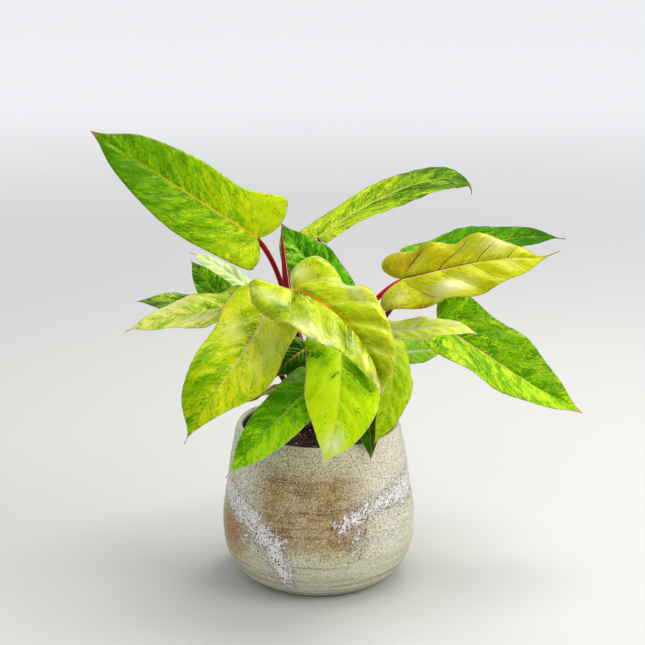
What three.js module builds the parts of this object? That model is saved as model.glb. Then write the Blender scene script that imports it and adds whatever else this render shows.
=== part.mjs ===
// A potted painted lady philodendron: a stoneware pot, a nursery pot inside it, soil, one stem,
// and a blade and a petiole for each leaf. Millimetres, +Z up, the viewer stands on the -Y side.
import * as THREE from "three";

// Pot
const potHeight = 134;
const potRimRadius = 68.8;
const potBellyRadius = 81;
const potFootRadius = 50;
const potWall = 4.4;
const potFloor = 8;
const potSides = 44;

// Nursery pot and soil
const growPotHeight = 118.5;
const growPotRimRadius = 61.5;
const growPotFootRadius = 44;
const growPotWall = 1.6;
const growPotSides = 36;
const soilDepth = 113.5;
const soilCrown = 4;

// Stem and petioles
const stemRadius = 5.2;
const stemHoleDepth = 34;
const stemHeight = 96;
const stemLean = [3, 2]; // how far the top stands from the axis, to +X and to +Y
const stemSides = 12;
const stemSteps = 9;
const petioleRadius = 1.9;
const petioleSides = 8;
const petioleSteps = 8;
const petioleBend = 0.4; // share of its reach over which it keeps each end's direction
const petioleArrive = { reach: 0.5, along: 0.3, normal: 0.3 };
const sheath = {
  height: 187,
  turn: 204,
  tip: [-30, -11, 300],
  lean: [-0.12, 0.02, 1],
  bend: 36,
  radii: [1.9, 2.9, 3.7, 3.8, 3.2, 2.1, 0],
};
const touchGap = 0.3;

// Blades
const bladeThickness = 0.9;
const bladeRibs = 14;
const ribSteps = 3;
const fanShare = 0.42; // share of the edge whose ribs all start at the petiole
const ribSpacing = 1.05; // over 1 sets the first ribs past the fan closer together
const bladeDefaults = { wave: 2, waves: 2.2 }; // height of the edge's waves and their number
const phaseStep = 0.37;

const colours = {
  stoneware: 0xb3a68e,
  nurseryPlastic: 0x1b1a1a,
  soil: 0x3a241c,
  stem: 0x6f7a2c,
  petiole: 0x8e2030,
  lime: 0xb5cf22,
  green: 0x4c8c16,
  gold: 0xc9c93a,
  cream: 0xd9dc8c,
};

// Half a blade: its width, how far its lobe reaches back, how open the notch is, the share of
// the width near the base, at half and at three quarters of the length, and its fold and curl
// in degrees at the base and at the tip.
function half(wide, back, more = {}) {
  const usual = { notch: 0.17, near: 0.97, mid: 0.94, far: 0.56, fold: [15, 5], curl: [-15, -5] };
  return { wide, back, ...usual, ...more };
}

// Each leaf has four points of its midrib from petiole to tip, the way its face looks at
// both ends, and where its petiole leaves the stem: a height and a compass angle from +X.
const leaves = {
  leaf_top_left: {
    midrib: [[-49, -8, 292], [-89, -20, 321], [-134, -22, 351], [-181, -8, 379]],
    face: [[-0.1, -0.8, 0.5], [0.1, -0.8, 0.6]],
    left: half(33, 8, { near: 1, mid: 0.99, far: 0.56 }),
    right: half(40, 12, { near: 0.7, mid: 0.72, far: 0.5 }),
    petiole: { height: 184, turn: 168, spread: 0.6, arrive: [-0.6, -0.15, 0.8] },
    wave: 1.5,
    colour: "lime",
  },
  leaf_upper_right: {
    midrib: [[0, 84, 273], [46, 108, 299], [102, 132, 316], [142, 143, 304]],
    face: [[-0.25, -0.2, 0.95], [0.5, -0.2, 0.9]],
    left: half(24, 8, { near: 0.9, mid: 0.92, far: 0.85 }),
    right: half(27, 3, { near: 0.85, mid: 1, far: 0.75 }),
    petiole: { height: 178, turn: 88, spread: 0.8, arrive: [0, 0.3, 1] },
    wave: 1,
    colour: "lime",
  },
  leaf_center_back: {
    midrib: [[12, 41, 230], [-2, 54, 251], [-17, 63, 267], [-32, 68, 290]],
    face: [[-0.1, -0.8, 0.5], [0, -0.7, 0.7]],
    left: half(26, 18),
    right: half(22, 12),
    petiole: { height: 164, turn: 74 },
    colour: "green",
  },
  leaf_center_front: {
    midrib: [[-20, -45, 258], [12, -76, 248], [36, -102, 226], [48, -116, 193]],
    face: [[0, -0.65, 0.75], [0.5, -0.75, 0.3]],
    left: half(35, 14, { near: 0.9, mid: 0.8, far: 0.54, fold: [15, 26] }),
    right: half(34, 32, { notch: 0.1, near: 1.18, mid: 1.27, far: 0.84, fold: [15, 32] }),
    petiole: { height: 182, turn: 262, arrive: [-0.5, -0.45, 0.75] },
    colour: "gold",
  },
  leaf_front_left: {
    midrib: [[-41, -32, 238], [-57, -64, 214], [-79, -92, 188], [-104, -100, 148]],
    face: [[-0.2, -0.8, 0.5], [-0.2, -0.9, 0.25]],
    left: half(32, 8, { mid: 1.04, far: 0.38 }),
    right: half(33, 22, { far: 0.66 }),
    petiole: { height: 172, turn: 212 },
    colour: "gold",
  },
  leaf_left: {
    midrib: [[-64, -8, 237], [-91, -14, 233], [-124, -18, 228], [-157, -20, 217]],
    face: [[-0.1, -0.45, 0.9], [-0.1, -0.45, 0.9]],
    left: half(21, 12),
    right: half(20, 12, { far: 0.45 }),
    petiole: { height: 160, turn: 190 },
    colour: "cream",
  },
  leaf_left_behind: {
    midrib: [[-74, 40, 219], [-100, 44, 222], [-128, 46, 225], [-155, 46, 226]],
    face: [[0, -0.3, 0.95], [0, -0.3, 0.95]],
    left: half(19, 12),
    right: half(17, 12),
    petiole: { height: 148, turn: 148 },
    colour: "green",
  },
  leaf_left_upright: {
    midrib: [[-61, 14, 218], [-79, 17, 233], [-94, 21, 250], [-106, 25, 266]],
    face: [[-0.2, -0.7, 0.6], [-0.2, -0.8, 0.5]],
    left: half(17, 10, { mid: 0.8, far: 0.45 }),
    right: half(17, 10, { mid: 0.8, far: 0.45 }),
    petiole: { height: 142, turn: 178 },
    colour: "green",
  },
  leaf_left_pale: {
    midrib: [[-54, 44, 234], [-73, 52, 246], [-91, 57, 257], [-110, 58, 266]],
    face: [[0, -0.6, 0.8], [0, -0.6, 0.8]],
    left: half(15, 6),
    right: half(9, 3),
    petiole: { height: 170, turn: 138 },
    colour: "cream",
  },
  leaf_right_behind: {
    midrib: [[80, 36, 262], [122, 50, 270], [167, 62, 277], [212, 66, 276]],
    face: [[0, -0.28, 0.95], [0.2, -0.25, 0.95]],
    left: half(28, 9),
    right: half(26, 9),
    petiole: { height: 176, turn: 26, spread: 0.85, arrive: [0.35, 0.3, 0.85] },
    colour: "green",
  },
  leaf_right_middle: {
    midrib: [[67, -30, 263], [105, -46, 276], [144, -54, 285], [182, -50, 282]],
    face: [[-0.1, -0.65, 0.75], [0.1, -0.6, 0.8]],
    left: half(27, 20, { far: 0.5 }),
    right: half(35, 18, { far: 0.72 }),
    petiole: { height: 184, turn: -26, arrive: [0.85, -0.2, 0.5] },
    wave: 3.2,
    waves: 3,
    colour: "gold",
  },
  leaf_right_lower: {
    midrib: [[101, 12, 213], [139, 6, 190], [176, 0, 167], [221, -4, 142]],
    face: [[0.3, -0.8, 0.55], [0.3, -0.8, 0.55]],
    left: half(35, 12),
    right: half(32, 12, { fold: [35, 25] }),
    petiole: { height: 162, turn: 8 },
    colour: "lime",
  },
  leaf_right_narrow: {
    midrib: [[53, -36, 222], [78, -42, 225], [103, -44, 227], [127, -42, 221]],
    face: [[0, -0.7, 0.7], [0, -0.7, 0.7]],
    left: half(10, 6),
    right: half(10, 6),
    petiole: { height: 172, turn: -50, spread: 0.3 },
    colour: "cream",
  },
  leaf_right_small: {
    midrib: [[52, 32, 187], [72, 42, 182], [91, 50, 181], [110, 56, 180]],
    face: [[0, -0.7, 0.7], [0, -0.7, 0.7]],
    left: half(17, 10),
    right: half(17, 10),
    petiole: { height: 144, turn: 34 },
    colour: "green",
  },
  leaf_front_right: {
    midrib: [[52, -14, 206], [59, -44, 190], [55, -62, 166], [44, -68, 137]],
    face: [[0.4, -0.7, 0.4], [0.3, -0.9, 0.2]],
    left: half(18, 10, { far: 0.6 }),
    right: half(13, 4),
    petiole: { height: 154, turn: -14 },
    colour: "lime",
  },
  leaf_front_hidden: {
    midrib: [[32, -26, 188], [37, -48, 169], [41, -60, 146], [42, -64, 122]],
    face: [[0.2, -0.9, 0.3], [0.1, -0.95, 0.2]],
    left: half(14, 8, { far: 0.4 }),
    right: half(14, 8, { far: 0.5 }),
    petiole: { height: 144, turn: -38 },
    colour: "green",
  },
  leaf_front_middle: {
    midrib: [[18, -50, 214], [17, -76, 189], [13, -94, 162], [3, -97, 129]],
    face: [[0, -0.8, 0.5], [0.1, -0.95, 0.25]],
    left: half(31, 20, { mid: 1 }),
    right: half(28, 20, { far: 0.45 }),
    petiole: { height: 160, turn: -68 },
    colour: "lime",
  },
  leaf_front_lower_left: {
    midrib: [[-2, -56, 185], [-21, -78, 172], [-45, -93, 151], [-73, -97, 119]],
    face: [[-0.1, -0.75, 0.6], [-0.2, -0.85, 0.4]],
    left: half(21, 10),
    right: half(20, 8),
    petiole: { height: 142, turn: -92 },
    colour: "green",
  },
  leaf_front_dark: {
    midrib: [[-11, -28, 204], [-19, -33, 200], [-27, -37, 194], [-35, -40, 184]],
    face: [[0, -0.7, 0.7], [-0.1, -0.9, 0.3]],
    left: half(13, 6),
    right: half(13, 6),
    petiole: { height: 152, turn: -112 },
    colour: "green",
  },
  leaf_rim_left: {
    midrib: [[-29, 26, 158], [-39, 33, 151], [-52, 37, 144], [-65, 39, 137]],
    face: [[-0.2, -0.5, 0.8], [-0.2, -0.5, 0.8]],
    left: half(6, 4),
    right: half(6, 4),
    petiole: { height: 136, turn: 128 },
    colour: "green",
  },
};

const degree = Math.PI / 180;
const soilBottom = potFloor + touchGap + growPotWall + touchGap;
const soilTop = soilBottom + soilDepth;
const stemFoot = soilTop + soilCrown - stemHoleDepth;

function standard(colour, roughness, metalness = 0) {
  return new THREE.MeshStandardMaterial({ color: colours[colour], roughness, metalness });
}

function turned(name, profile, sides, material) {
  const points = profile.map(([radius, height]) => new THREE.Vector2(radius, height));
  const mesh = new THREE.Mesh(new THREE.LatheGeometry(points, sides), material);
  mesh.rotation.x = Math.PI / 2;
  mesh.name = name;
  return mesh;
}

// Stoneware pot: a round belly that narrows to the rim, with a rounded lip.
function makePot() {
  const belly = potBellyRadius;
  const rim = potRimRadius;
  const outside = [
    [0, 0], [potFootRadius, 0], [potFootRadius + 9, 2.5], [68, 9], [75, 19], [belly - 1.4, 32],
    [belly, 48], [belly - 0.8, 64], [belly - 3.8, 82], [belly - 6.6, 101], [rim + 2.6, 118],
    [rim, potHeight - 4], [rim - 1, potHeight - 1],
  ];
  const lip = [[rim - potWall / 2, potHeight], [rim - potWall + 0.6, potHeight - 1.2]];
  const inside = [
    [rim - potWall, potHeight - 5], [belly - 9, 96], [belly - potWall - 1, 60], [belly - potWall - 2, 36],
    [66, 18], [54, potFloor], [0, potFloor],
  ];
  return turned("pot", [...outside, ...lip, ...inside], potSides, standard("stoneware", 0.9));
}

// Black nursery pot that stands on the pot's floor.
function makeGrowPot() {
  const floor = potFloor + touchGap;
  const top = floor + growPotHeight;
  const foot = growPotFootRadius;
  const rim = growPotRimRadius;
  const profile = [
    [0, floor], [foot, floor], [rim - 1.5, top - 8], [rim, top - 8], [rim, top], [rim - growPotWall, top],
    [rim - 1.5 - growPotWall, top - 9], [foot - growPotWall, floor + growPotWall], [0, floor + growPotWall],
  ];
  return turned("grow_pot", profile, growPotSides, standard("nurseryPlastic", 0.6));
}

// Soil fills the nursery pot, a little higher around the stem, with a hole for it.
function makeSoil() {
  const clear = growPotWall + touchGap;
  const foot = growPotFootRadius - clear - 0.4;
  const edge = growPotRimRadius - 1.5 - clear - 1.2;
  const hole = stemRadius + touchGap;
  const crown = soilTop + soilCrown;
  const profile = [
    [0, soilBottom], [foot, soilBottom], [edge, soilTop], [edge * 0.8, soilTop + 1.5],
    [edge * 0.5, soilTop + 2.6], [edge * 0.25, crown - 0.6], [hole, crown],
    [hole, stemFoot - touchGap], [0, stemFoot - touchGap],
  ];
  return turned("soil", profile, growPotSides, standard("soil", 1));
}

function vector(point) {
  return new THREE.Vector3(...point);
}

function circle(radius, sides) {
  const corners = Array.from({ length: sides }, (_, i) => {
    const angle = (i * 2 * Math.PI) / sides;
    return new THREE.Vector2(radius * Math.cos(angle), radius * Math.sin(angle));
  });
  return new THREE.Shape(corners);
}

function tube(name, path, radius, sides, steps, material) {
  const geometry = new THREE.ExtrudeGeometry(circle(radius, sides), { steps, extrudePath: path });
  const mesh = new THREE.Mesh(geometry, material);
  mesh.name = name;
  return mesh;
}

// A cubic through four points, met at 0, 1/3, 2/3 and 1.
function cubicThrough(points) {
  const [a, b, c, d] = points.map(vector);
  const blend = (p, q, r, s) => new THREE.Vector3()
    .addScaledVector(a, p / 6)
    .addScaledVector(b, q / 6)
    .addScaledVector(c, r / 6)
    .addScaledVector(d, s / 6);
  return new THREE.CubicBezierCurve3(a, blend(-5, 18, -9, 2), blend(2, -9, 18, -5), d);
}

// The stem stands straight in the soil and then leans a little; its height grows evenly.
const stemCurve = cubicThrough([0, 0, 0.27, 1].map((lean, third) => [
  stemLean[0] * lean,
  stemLean[1] * lean,
  stemFoot + (stemHeight * third) / 3,
]));

function makeStem() {
  return tube("stem", stemCurve, stemRadius, stemSides, stemSteps, standard("stem", 0.6));
}

// Midrib place, direction, face normal and left-hand direction at a share of the length.
function frameAt(leaf, share) {
  const at = THREE.MathUtils.clamp(share, 0, 1);
  const place = leaf.curve.getPoint(at);
  const along = leaf.curve.getTangent(at);
  const normal = vector(leaf.face[0]).lerp(vector(leaf.face[1]), at);
  normal.addScaledVector(along, -normal.dot(along)).normalize();
  const across = new THREE.Vector3().crossVectors(normal, along);
  return { place, along, normal, across };
}

// Edge of one half in the flat: [along the midrib, away from it], from the notch to the tip.
function edgeCurve(side, length) {
  const { wide, back, notch, near, mid, far } = side;
  const points = [
    [0, 0], [-0.5 * back, notch * wide], [-0.9 * back, (0.28 + notch) * wide],
    [-0.85 * back, 0.76 * wide], [-0.15 * back, wide],
    [0.22 * length, near * wide], [0.5 * length, mid * wide], [0.78 * length, far * wide], [length, 0],
  ];
  return new THREE.SplineCurve(points.map(([x, y]) => new THREE.Vector2(x, y)));
}

function bladePoint(leaf, side, sign, flat) {
  const share = flat.x / leaf.length;
  const { place, along, normal, across } = frameAt(leaf, share);
  const late = THREE.MathUtils.clamp(share, 0, 1);
  const out = flat.y / side.wide;
  const fold = THREE.MathUtils.lerp(...side.fold, late);
  const curl = THREE.MathUtils.lerp(...side.curl, late);
  const angle = (fold + curl * out * 0.5) * degree;
  const turns = leaf.waves * share + leaf.phase + (sign < 0 ? 0.5 : 0);
  const wave = leaf.wave * out * out * Math.sin(2 * Math.PI * turns);
  return place
    .addScaledVector(along, Math.min(flat.x, 0))
    .addScaledVector(across, sign * flat.y * Math.cos(angle))
    .addScaledVector(normal, flat.y * Math.sin(angle) + wave);
}

// The blade's middle surface as points and triangles, both halves sharing the midrib.
function bladeSheet(leaf) {
  const points = [];
  const triangles = [];
  const seen = new Map();
  const numberOf = (point) => {
    const key = point.toArray().map((value) => value.toFixed(3)).join();
    if (!seen.has(key)) {
      seen.set(key, points.length);
      points.push(point);
    }
    return seen.get(key);
  };
  for (const [side, sign] of [[leaf.left, 1], [leaf.right, -1]]) {
    const edge = edgeCurve(side, leaf.length);
    const rows = Array.from({ length: bladeRibs + 1 }, (_, i) => {
      const share = i / bladeRibs;
      const late = Math.max(share - fanShare, 0) / (1 - fanShare);
      const start = new THREE.Vector2(leaf.length * late ** ribSpacing, 0);
      const end = edge.getPoint(share);
      return Array.from({ length: ribSteps + 1 }, (_, j) =>
        numberOf(bladePoint(leaf, side, sign, start.clone().lerp(end, j / ribSteps))));
    });
    for (let i = 0; i < bladeRibs; i += 1) {
      for (let j = 0; j < ribSteps; j += 1) {
        const [a, b, c, d] = [rows[i][j], rows[i + 1][j], rows[i + 1][j + 1], rows[i][j + 1]];
        const pair = [[a, b, c], [a, c, d]];
        triangles.push(...pair.map((t) => (sign > 0 ? t : t.toReversed())));
      }
    }
  }
  const whole = triangles.filter(([a, b, c]) => a !== b && b !== c && c !== a);
  return { points, triangles: whole };
}

function sheetNormals({ points, triangles }) {
  const normals = points.map(() => new THREE.Vector3());
  for (const triangle of triangles) {
    const [a, b, c] = triangle.map((i) => points[i]);
    const normal = b.clone().sub(a).cross(c.clone().sub(a));
    triangle.forEach((i) => normals[i].add(normal));
  }
  return normals.map((normal) => normal.normalize());
}

// A closed body from a sheet: the same triangles on both faces, joined round the edge.
function thicken(sheet, thickness) {
  const normals = sheetNormals(sheet);
  const count = sheet.points.length;
  const level = (offset) => sheet.points.map((p, i) => p.clone().addScaledVector(normals[i], offset));
  const points = [...level(thickness / 2), ...level(-thickness / 2)];
  const edges = new Set(sheet.triangles.flatMap(([a, b, c]) => [`${a} ${b}`, `${b} ${c}`, `${c} ${a}`]));
  const faces = sheet.triangles.flatMap(([a, b, c]) => [[a, b, c], [c + count, b + count, a + count]]);
  for (const edge of edges) {
    const [a, b] = edge.split(" ").map(Number);
    if (!edges.has(`${b} ${a}`)) {
      faces.push([b, a, a + count], [b, a + count, b + count]);
    }
  }
  const geometry = new THREE.BufferGeometry().setFromPoints(points);
  geometry.setIndex(faces.flat());
  geometry.computeVertexNormals();
  return geometry;
}

function makeBlade(name, leaf) {
  const mesh = new THREE.Mesh(thicken(bladeSheet(leaf), bladeThickness), standard(leaf.colour, 0.45));
  mesh.name = name;
  return mesh;
}

// Where something leaves the stem at a height and a compass angle, upwards and outwards.
function leaveStem({ height, turn, spread = 0.7 }, radius) {
  const at = stemCurve.getPoint((height - stemFoot) / stemHeight);
  const outward = new THREE.Vector3(Math.cos(turn * degree), Math.sin(turn * degree), 0);
  const away = outward.clone().multiplyScalar(spread).setZ(Math.sqrt(1 - spread * spread));
  const clear = stemRadius + touchGap + radius * Math.sin(away.angleTo(outward));
  return { start: at.addScaledVector(outward, clear), away };
}

// A petiole bends from the stem to end under the notch of its blade.
function makePetiole(name, leaf) {
  const { start, away } = leaveStem(leaf.petiole, petioleRadius);
  const { place, along, normal } = frameAt(leaf, 0);
  const reach = place.clone().sub(start);
  const into = reach.clone().setLength(petioleArrive.reach)
    .addScaledVector(along, petioleArrive.along)
    .addScaledVector(normal, petioleArrive.normal)
    .normalize();
  if (leaf.petiole.arrive) {
    into.fromArray(leaf.petiole.arrive).normalize();
  }
  const below = bladeThickness / 2 + touchGap + petioleRadius * Math.sin(into.angleTo(normal));
  const end = place.clone().addScaledVector(normal, -below);
  const bend = reach.length() * petioleBend;
  const path = new THREE.CubicBezierCurve3(
    start,
    start.clone().addScaledVector(away, bend),
    end.clone().addScaledVector(into, -bend),
    end,
  );
  return tube(name, path, petioleRadius, petioleSides, petioleSteps, standard("petiole", 0.4));
}

// The red sheath of the newest leaf: a slim pointed tube that leaves the stem like a petiole.
function makeSheath() {
  const { start, away } = leaveStem(sheath, sheath.radii[0]);
  const tip = vector(sheath.tip);
  const path = new THREE.CubicBezierCurve3(
    start,
    start.clone().addScaledVector(away, sheath.bend),
    tip.clone().addScaledVector(vector(sheath.lean), -sheath.bend),
    tip,
  );
  const count = sheath.radii.length - 1;
  const sides = petioleSides;
  const points = sheath.radii.slice(0, count).flatMap((radius, ring) => {
    const centre = path.getPoint(ring / count);
    const along = path.getTangent(ring / count);
    const side = new THREE.Vector3(0, 1, 0).cross(along).normalize();
    const front = along.clone().cross(side);
    return Array.from({ length: sides }, (_, i) => {
      const angle = (i * 2 * Math.PI) / sides;
      return centre.clone()
        .addScaledVector(side, radius * Math.cos(angle))
        .addScaledVector(front, radius * Math.sin(angle));
    });
  });
  const foot = points.push(start) - 1;
  const top = points.push(tip) - 1;
  const last = (count - 1) * sides;
  const faces = [];
  for (let i = 0; i < sides; i += 1) {
    const next = (i + 1) % sides;
    for (let ring = 0; ring < last; ring += sides) {
      const [a, b, c, d] = [ring + i, ring + next, ring + sides + next, ring + sides + i];
      faces.push([a, b, c], [a, c, d]);
    }
    faces.push([foot, next, i], [top, last + i, last + next]);
  }
  const geometry = new THREE.BufferGeometry().setFromPoints(points);
  geometry.setIndex(faces.flat());
  geometry.computeVertexNormals();
  const mesh = new THREE.Mesh(geometry, standard("petiole", 0.4));
  mesh.name = "new_leaf_sheath";
  return mesh;
}

const plant = new THREE.Group();
plant.add(makePot(), makeGrowPot(), makeSoil(), makeStem(), makeSheath());
Object.entries(leaves).forEach(([name, leaf], index) => {
  const whole = { ...bladeDefaults, ...leaf, curve: cubicThrough(leaf.midrib), phase: index * phaseStep };
  whole.length = whole.curve.getLength();
  plant.add(makeBlade(name, whole), makePetiole(name.replace("leaf", "petiole"), whole));
});

export default plant;
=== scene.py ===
import math

import bpy
import numpy as np
from mathutils import Euler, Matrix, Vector, noise


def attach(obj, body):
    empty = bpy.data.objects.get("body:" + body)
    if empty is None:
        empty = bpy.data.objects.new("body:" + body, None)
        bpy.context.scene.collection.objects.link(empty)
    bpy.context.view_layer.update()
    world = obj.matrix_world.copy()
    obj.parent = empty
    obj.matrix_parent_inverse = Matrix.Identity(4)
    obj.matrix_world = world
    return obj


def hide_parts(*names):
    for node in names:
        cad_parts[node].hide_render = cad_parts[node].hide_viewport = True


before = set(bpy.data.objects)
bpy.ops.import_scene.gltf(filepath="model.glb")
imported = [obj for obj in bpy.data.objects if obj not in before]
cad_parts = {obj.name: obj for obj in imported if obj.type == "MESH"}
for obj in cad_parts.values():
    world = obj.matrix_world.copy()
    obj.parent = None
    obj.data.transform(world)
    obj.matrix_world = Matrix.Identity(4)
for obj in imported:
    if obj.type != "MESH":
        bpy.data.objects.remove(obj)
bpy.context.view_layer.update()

# A potted painted lady philodendron. Sizes are in millimetres, turned into metres as meshes are made.
millimetre = 0.001
dice = np.random.default_rng(11)


# Node helpers

def put(tree, kind, **settings):
    node = tree.nodes.new(kind)
    for name, value in settings.items():
        setattr(node, name, value)
    return node


def feed(tree, socket, value):
    if isinstance(value, bpy.types.NodeSocket):
        tree.links.new(value, socket)
    else:
        socket.default_value = value


def sums(tree, operation, *values):
    node = put(tree, "ShaderNodeMath", operation=operation)
    for socket, value in zip(node.inputs, values):
        feed(tree, socket, value)
    return node.outputs[0]


def times(tree, a, b):
    return sums(tree, "MULTIPLY", a, b)


def plus(tree, a, b):
    return sums(tree, "ADD", a, b)


def minus(tree, a, b):
    return sums(tree, "SUBTRACT", a, b)


def timesPlus(tree, a, factor, shift):
    return sums(tree, "MULTIPLY_ADD", a, factor, shift)


def ease(tree, value, low, high, start=0.0, end=1.0):
    node = put(tree, "ShaderNodeMapRange", interpolation_type="SMOOTHSTEP")
    labels = ("Value", "From Min", "From Max", "To Min", "To Max")
    for label, given in zip(labels, (value, low, high, start, end)):
        feed(tree, node.inputs[label], given)
    return node.outputs["Result"]


def tint(tree, share, below, above, kind="MIX"):
    node = put(tree, "ShaderNodeMix", data_type="RGBA", blend_type=kind)
    feed(tree, node.inputs[0], share)
    feed(tree, node.inputs[6], below)
    feed(tree, node.inputs[7], above)
    return node.outputs[2]


def stretch(tree, place, factors, shift=(0.0, 0.0, 0.0)):
    node = put(tree, "ShaderNodeVectorMath", operation="MULTIPLY_ADD")
    for socket, value in zip(node.inputs, (place, factors, shift)):
        feed(tree, socket, value)
    return node.outputs[0]


def objectPlace(tree):
    # The object's place in millimetres.
    return stretch(tree, put(tree, "ShaderNodeTexCoord").outputs["Object"], (1000.0, 1000.0, 1000.0))


def grain(tree, place, scale, detail=2.0, rough=0.5, twist=0.0):
    node = put(tree, "ShaderNodeTexNoise")
    labels = ("Vector", "Scale", "Detail", "Roughness", "Distortion")
    for label, value in zip(labels, (place, scale, detail, rough, twist)):
        feed(tree, node.inputs[label], value)
    return node.outputs[0]


def split(tree, place):
    node = put(tree, "ShaderNodeSeparateXYZ")
    feed(tree, node.inputs[0], place)
    return node.outputs[0], node.outputs[1], node.outputs[2]


def joined(tree, x, y, z):
    node = put(tree, "ShaderNodeCombineXYZ")
    for socket, value in zip(node.inputs, (x, y, z)):
        feed(tree, socket, value)
    return node.outputs[0]


def stored(tree, name):
    return put(tree, "ShaderNodeAttribute", attribute_name=name).outputs["Vector"]


def paint(code, shade=1.0):
    parts = [int(code[i:i + 2], 16) / 255 for i in (0, 2, 4)]
    linear = [p / 12.92 if p <= 0.04045 else ((p + 0.055) / 1.055) ** 2.4 for p in parts]
    return (*[p * shade for p in linear], 1.0)


def coat(tree, colour, hue, *shares):
    # A layer of one hue over the colour; its shares are multiplied.
    share = shares[0]
    for more in shares[1:]:
        share = times(tree, share, more)
    return tint(tree, share, colour, paint(hue))


def startGroup(name, inputs, outputs):
    tree = bpy.data.node_groups.new(name, "ShaderNodeTree")
    kinds = {"value": "NodeSocketFloat", "colour": "NodeSocketColor", "vector": "NodeSocketVector"}
    for way, sockets in (("INPUT", inputs), ("OUTPUT", outputs)):
        for label, kind in sockets.items():
            tree.interface.new_socket(name=label, in_out=way, socket_type=kinds[kind])
    return tree, tree.nodes.new("NodeGroupInput").outputs, tree.nodes.new("NodeGroupOutput").inputs


def useGroup(tree, group, **values):
    node = put(tree, "ShaderNodeGroup", node_tree=group)
    for name, value in values.items():
        label = "".join(" " + letter if letter.isupper() else letter for letter in name)
        feed(tree, node.inputs[label[0].upper() + label[1:]], value)
    return node.outputs


def spots(tree, place, size, share, seed):
    return useGroup(tree, speckle, place=place, size=size, share=share, seed=seed)["Mask"]


def startMaterial(name):
    material = bpy.data.materials.new(name)
    material.use_nodes = True
    tree = material.node_tree
    return material, tree, tree.nodes["Principled BSDF"]


def roughen(tree, shader, height, strength, distance):
    bump = put(tree, "ShaderNodeBump")
    bump.inputs["Strength"].default_value = strength
    bump.inputs["Distance"].default_value = distance * millimetre
    feed(tree, bump.inputs["Height"], height)
    tree.links.new(bump.outputs[0], shader.inputs["Normal"])


def setShine(shader, level, hue):
    shader.inputs["Specular IOR Level"].default_value = level
    shader.inputs["Specular Tint"].default_value = paint(hue)


# Shared effects

def makeMottling():
    # Patches and streaks that follow the veins. Share is how much of the blade they take.
    values = ("Side", "Seed", "Patch", "Streak", "Share", "Tip Lean", "Side Lean", "Soft", "Gain")
    inputs = {"Vein Place": "vector", "Leaf Place": "vector", **dict.fromkeys(values, "value")}
    tree, given, result = startGroup("leafMottling", inputs, {"Mask": "value"})
    across, along, _ = split(tree, given["Vein Place"])
    reach, _, _ = split(tree, given["Leaf Place"])

    def layer(size, slim, detail, shift):
        x = sums(tree, "DIVIDE", across, size)
        y = sums(tree, "DIVIDE", times(tree, along, slim), size)
        z = timesPlus(tree, given["Side"], 7.3, plus(tree, given["Seed"], shift))
        return grain(tree, joined(tree, x, y, z), 1.0, detail, 0.6, 0.7)

    patches = layer(given["Patch"], 0.7, 1.0, 0.0)
    streaks = layer(given["Streak"], 0.42, 3.0, 31.0)
    fine = layer(times(tree, given["Streak"], 0.42), 0.5, 2.0, 57.0)
    value = times(tree, patches, 0.34)
    value = timesPlus(tree, streaks, 0.3, value)
    value = timesPlus(tree, fine, 0.36, value)
    value = timesPlus(tree, minus(tree, value, 0.5), given["Gain"], 0.5)
    lean = times(tree, minus(tree, reach, 0.4), given["Tip Lean"])
    lean = timesPlus(tree, given["Side"], given["Side Lean"], lean)
    edge = minus(tree, minus(tree, 1.0, given["Share"]), lean)
    low = minus(tree, edge, given["Soft"])
    high = plus(tree, edge, given["Soft"])
    feed(tree, result["Mask"], ease(tree, value, low, high))
    return tree


def veinGap(tree, given):
    # Gap to the nearest side vein, which stand evenly along the midrib.
    across, _, _ = split(tree, given["Vein Place"])
    return sums(tree, "PINGPONG", across, times(tree, given["Vein Space"], 0.5))


def makeLeafLines():
    # The midrib, side veins, thin margin and tip, from places measured in the flat blade.
    inputs = {"Leaf Place": "vector", "Vein Place": "vector", "Vein Space": "value", "Rib Width": "value",
              "Vein Width": "value", "Margin Width": "value", "Rib Fade": "value"}
    outputs = {"Midrib": "value", "Veins": "value", "Margin": "value", "Tip": "value"}
    tree, given, result = startGroup("leafLines", inputs, outputs)
    reach, off, rim = split(tree, given["Leaf Place"])
    gap = veinGap(tree, given)
    wander = grain(tree, given["Vein Place"], 0.35, 2.0)
    front = ease(tree, reach, -0.02, 0.01)
    slim = times(tree, given["Rib Width"], ease(tree, reach, 0.0, 1.0, 1.0, 0.22))
    rib = ease(tree, off, times(tree, slim, 0.25), times(tree, slim, 1.2), 1.0, 0.0)
    rib = times(tree, rib, ease(tree, reach, 0.15, 1.0, 1.0, given["Rib Fade"]))
    feed(tree, result["Midrib"], times(tree, rib, front))
    fade = times(tree, ease(tree, rim, 1.0, 9.0), ease(tree, wander, 0.25, 0.6, 0.4, 1.0))
    vein = ease(tree, gap, times(tree, given["Vein Width"], 0.3), given["Vein Width"], 1.0, 0.0)
    feed(tree, result["Veins"], times(tree, vein, fade))
    width = times(tree, given["Margin Width"], ease(tree, wander, 0.3, 0.7, 0.6, 1.3))
    feed(tree, result["Margin"], ease(tree, rim, times(tree, width, 0.3), width, 1.0, 0.0))
    feed(tree, result["Tip"], ease(tree, reach, 0.945, 1.0))
    return tree


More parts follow.
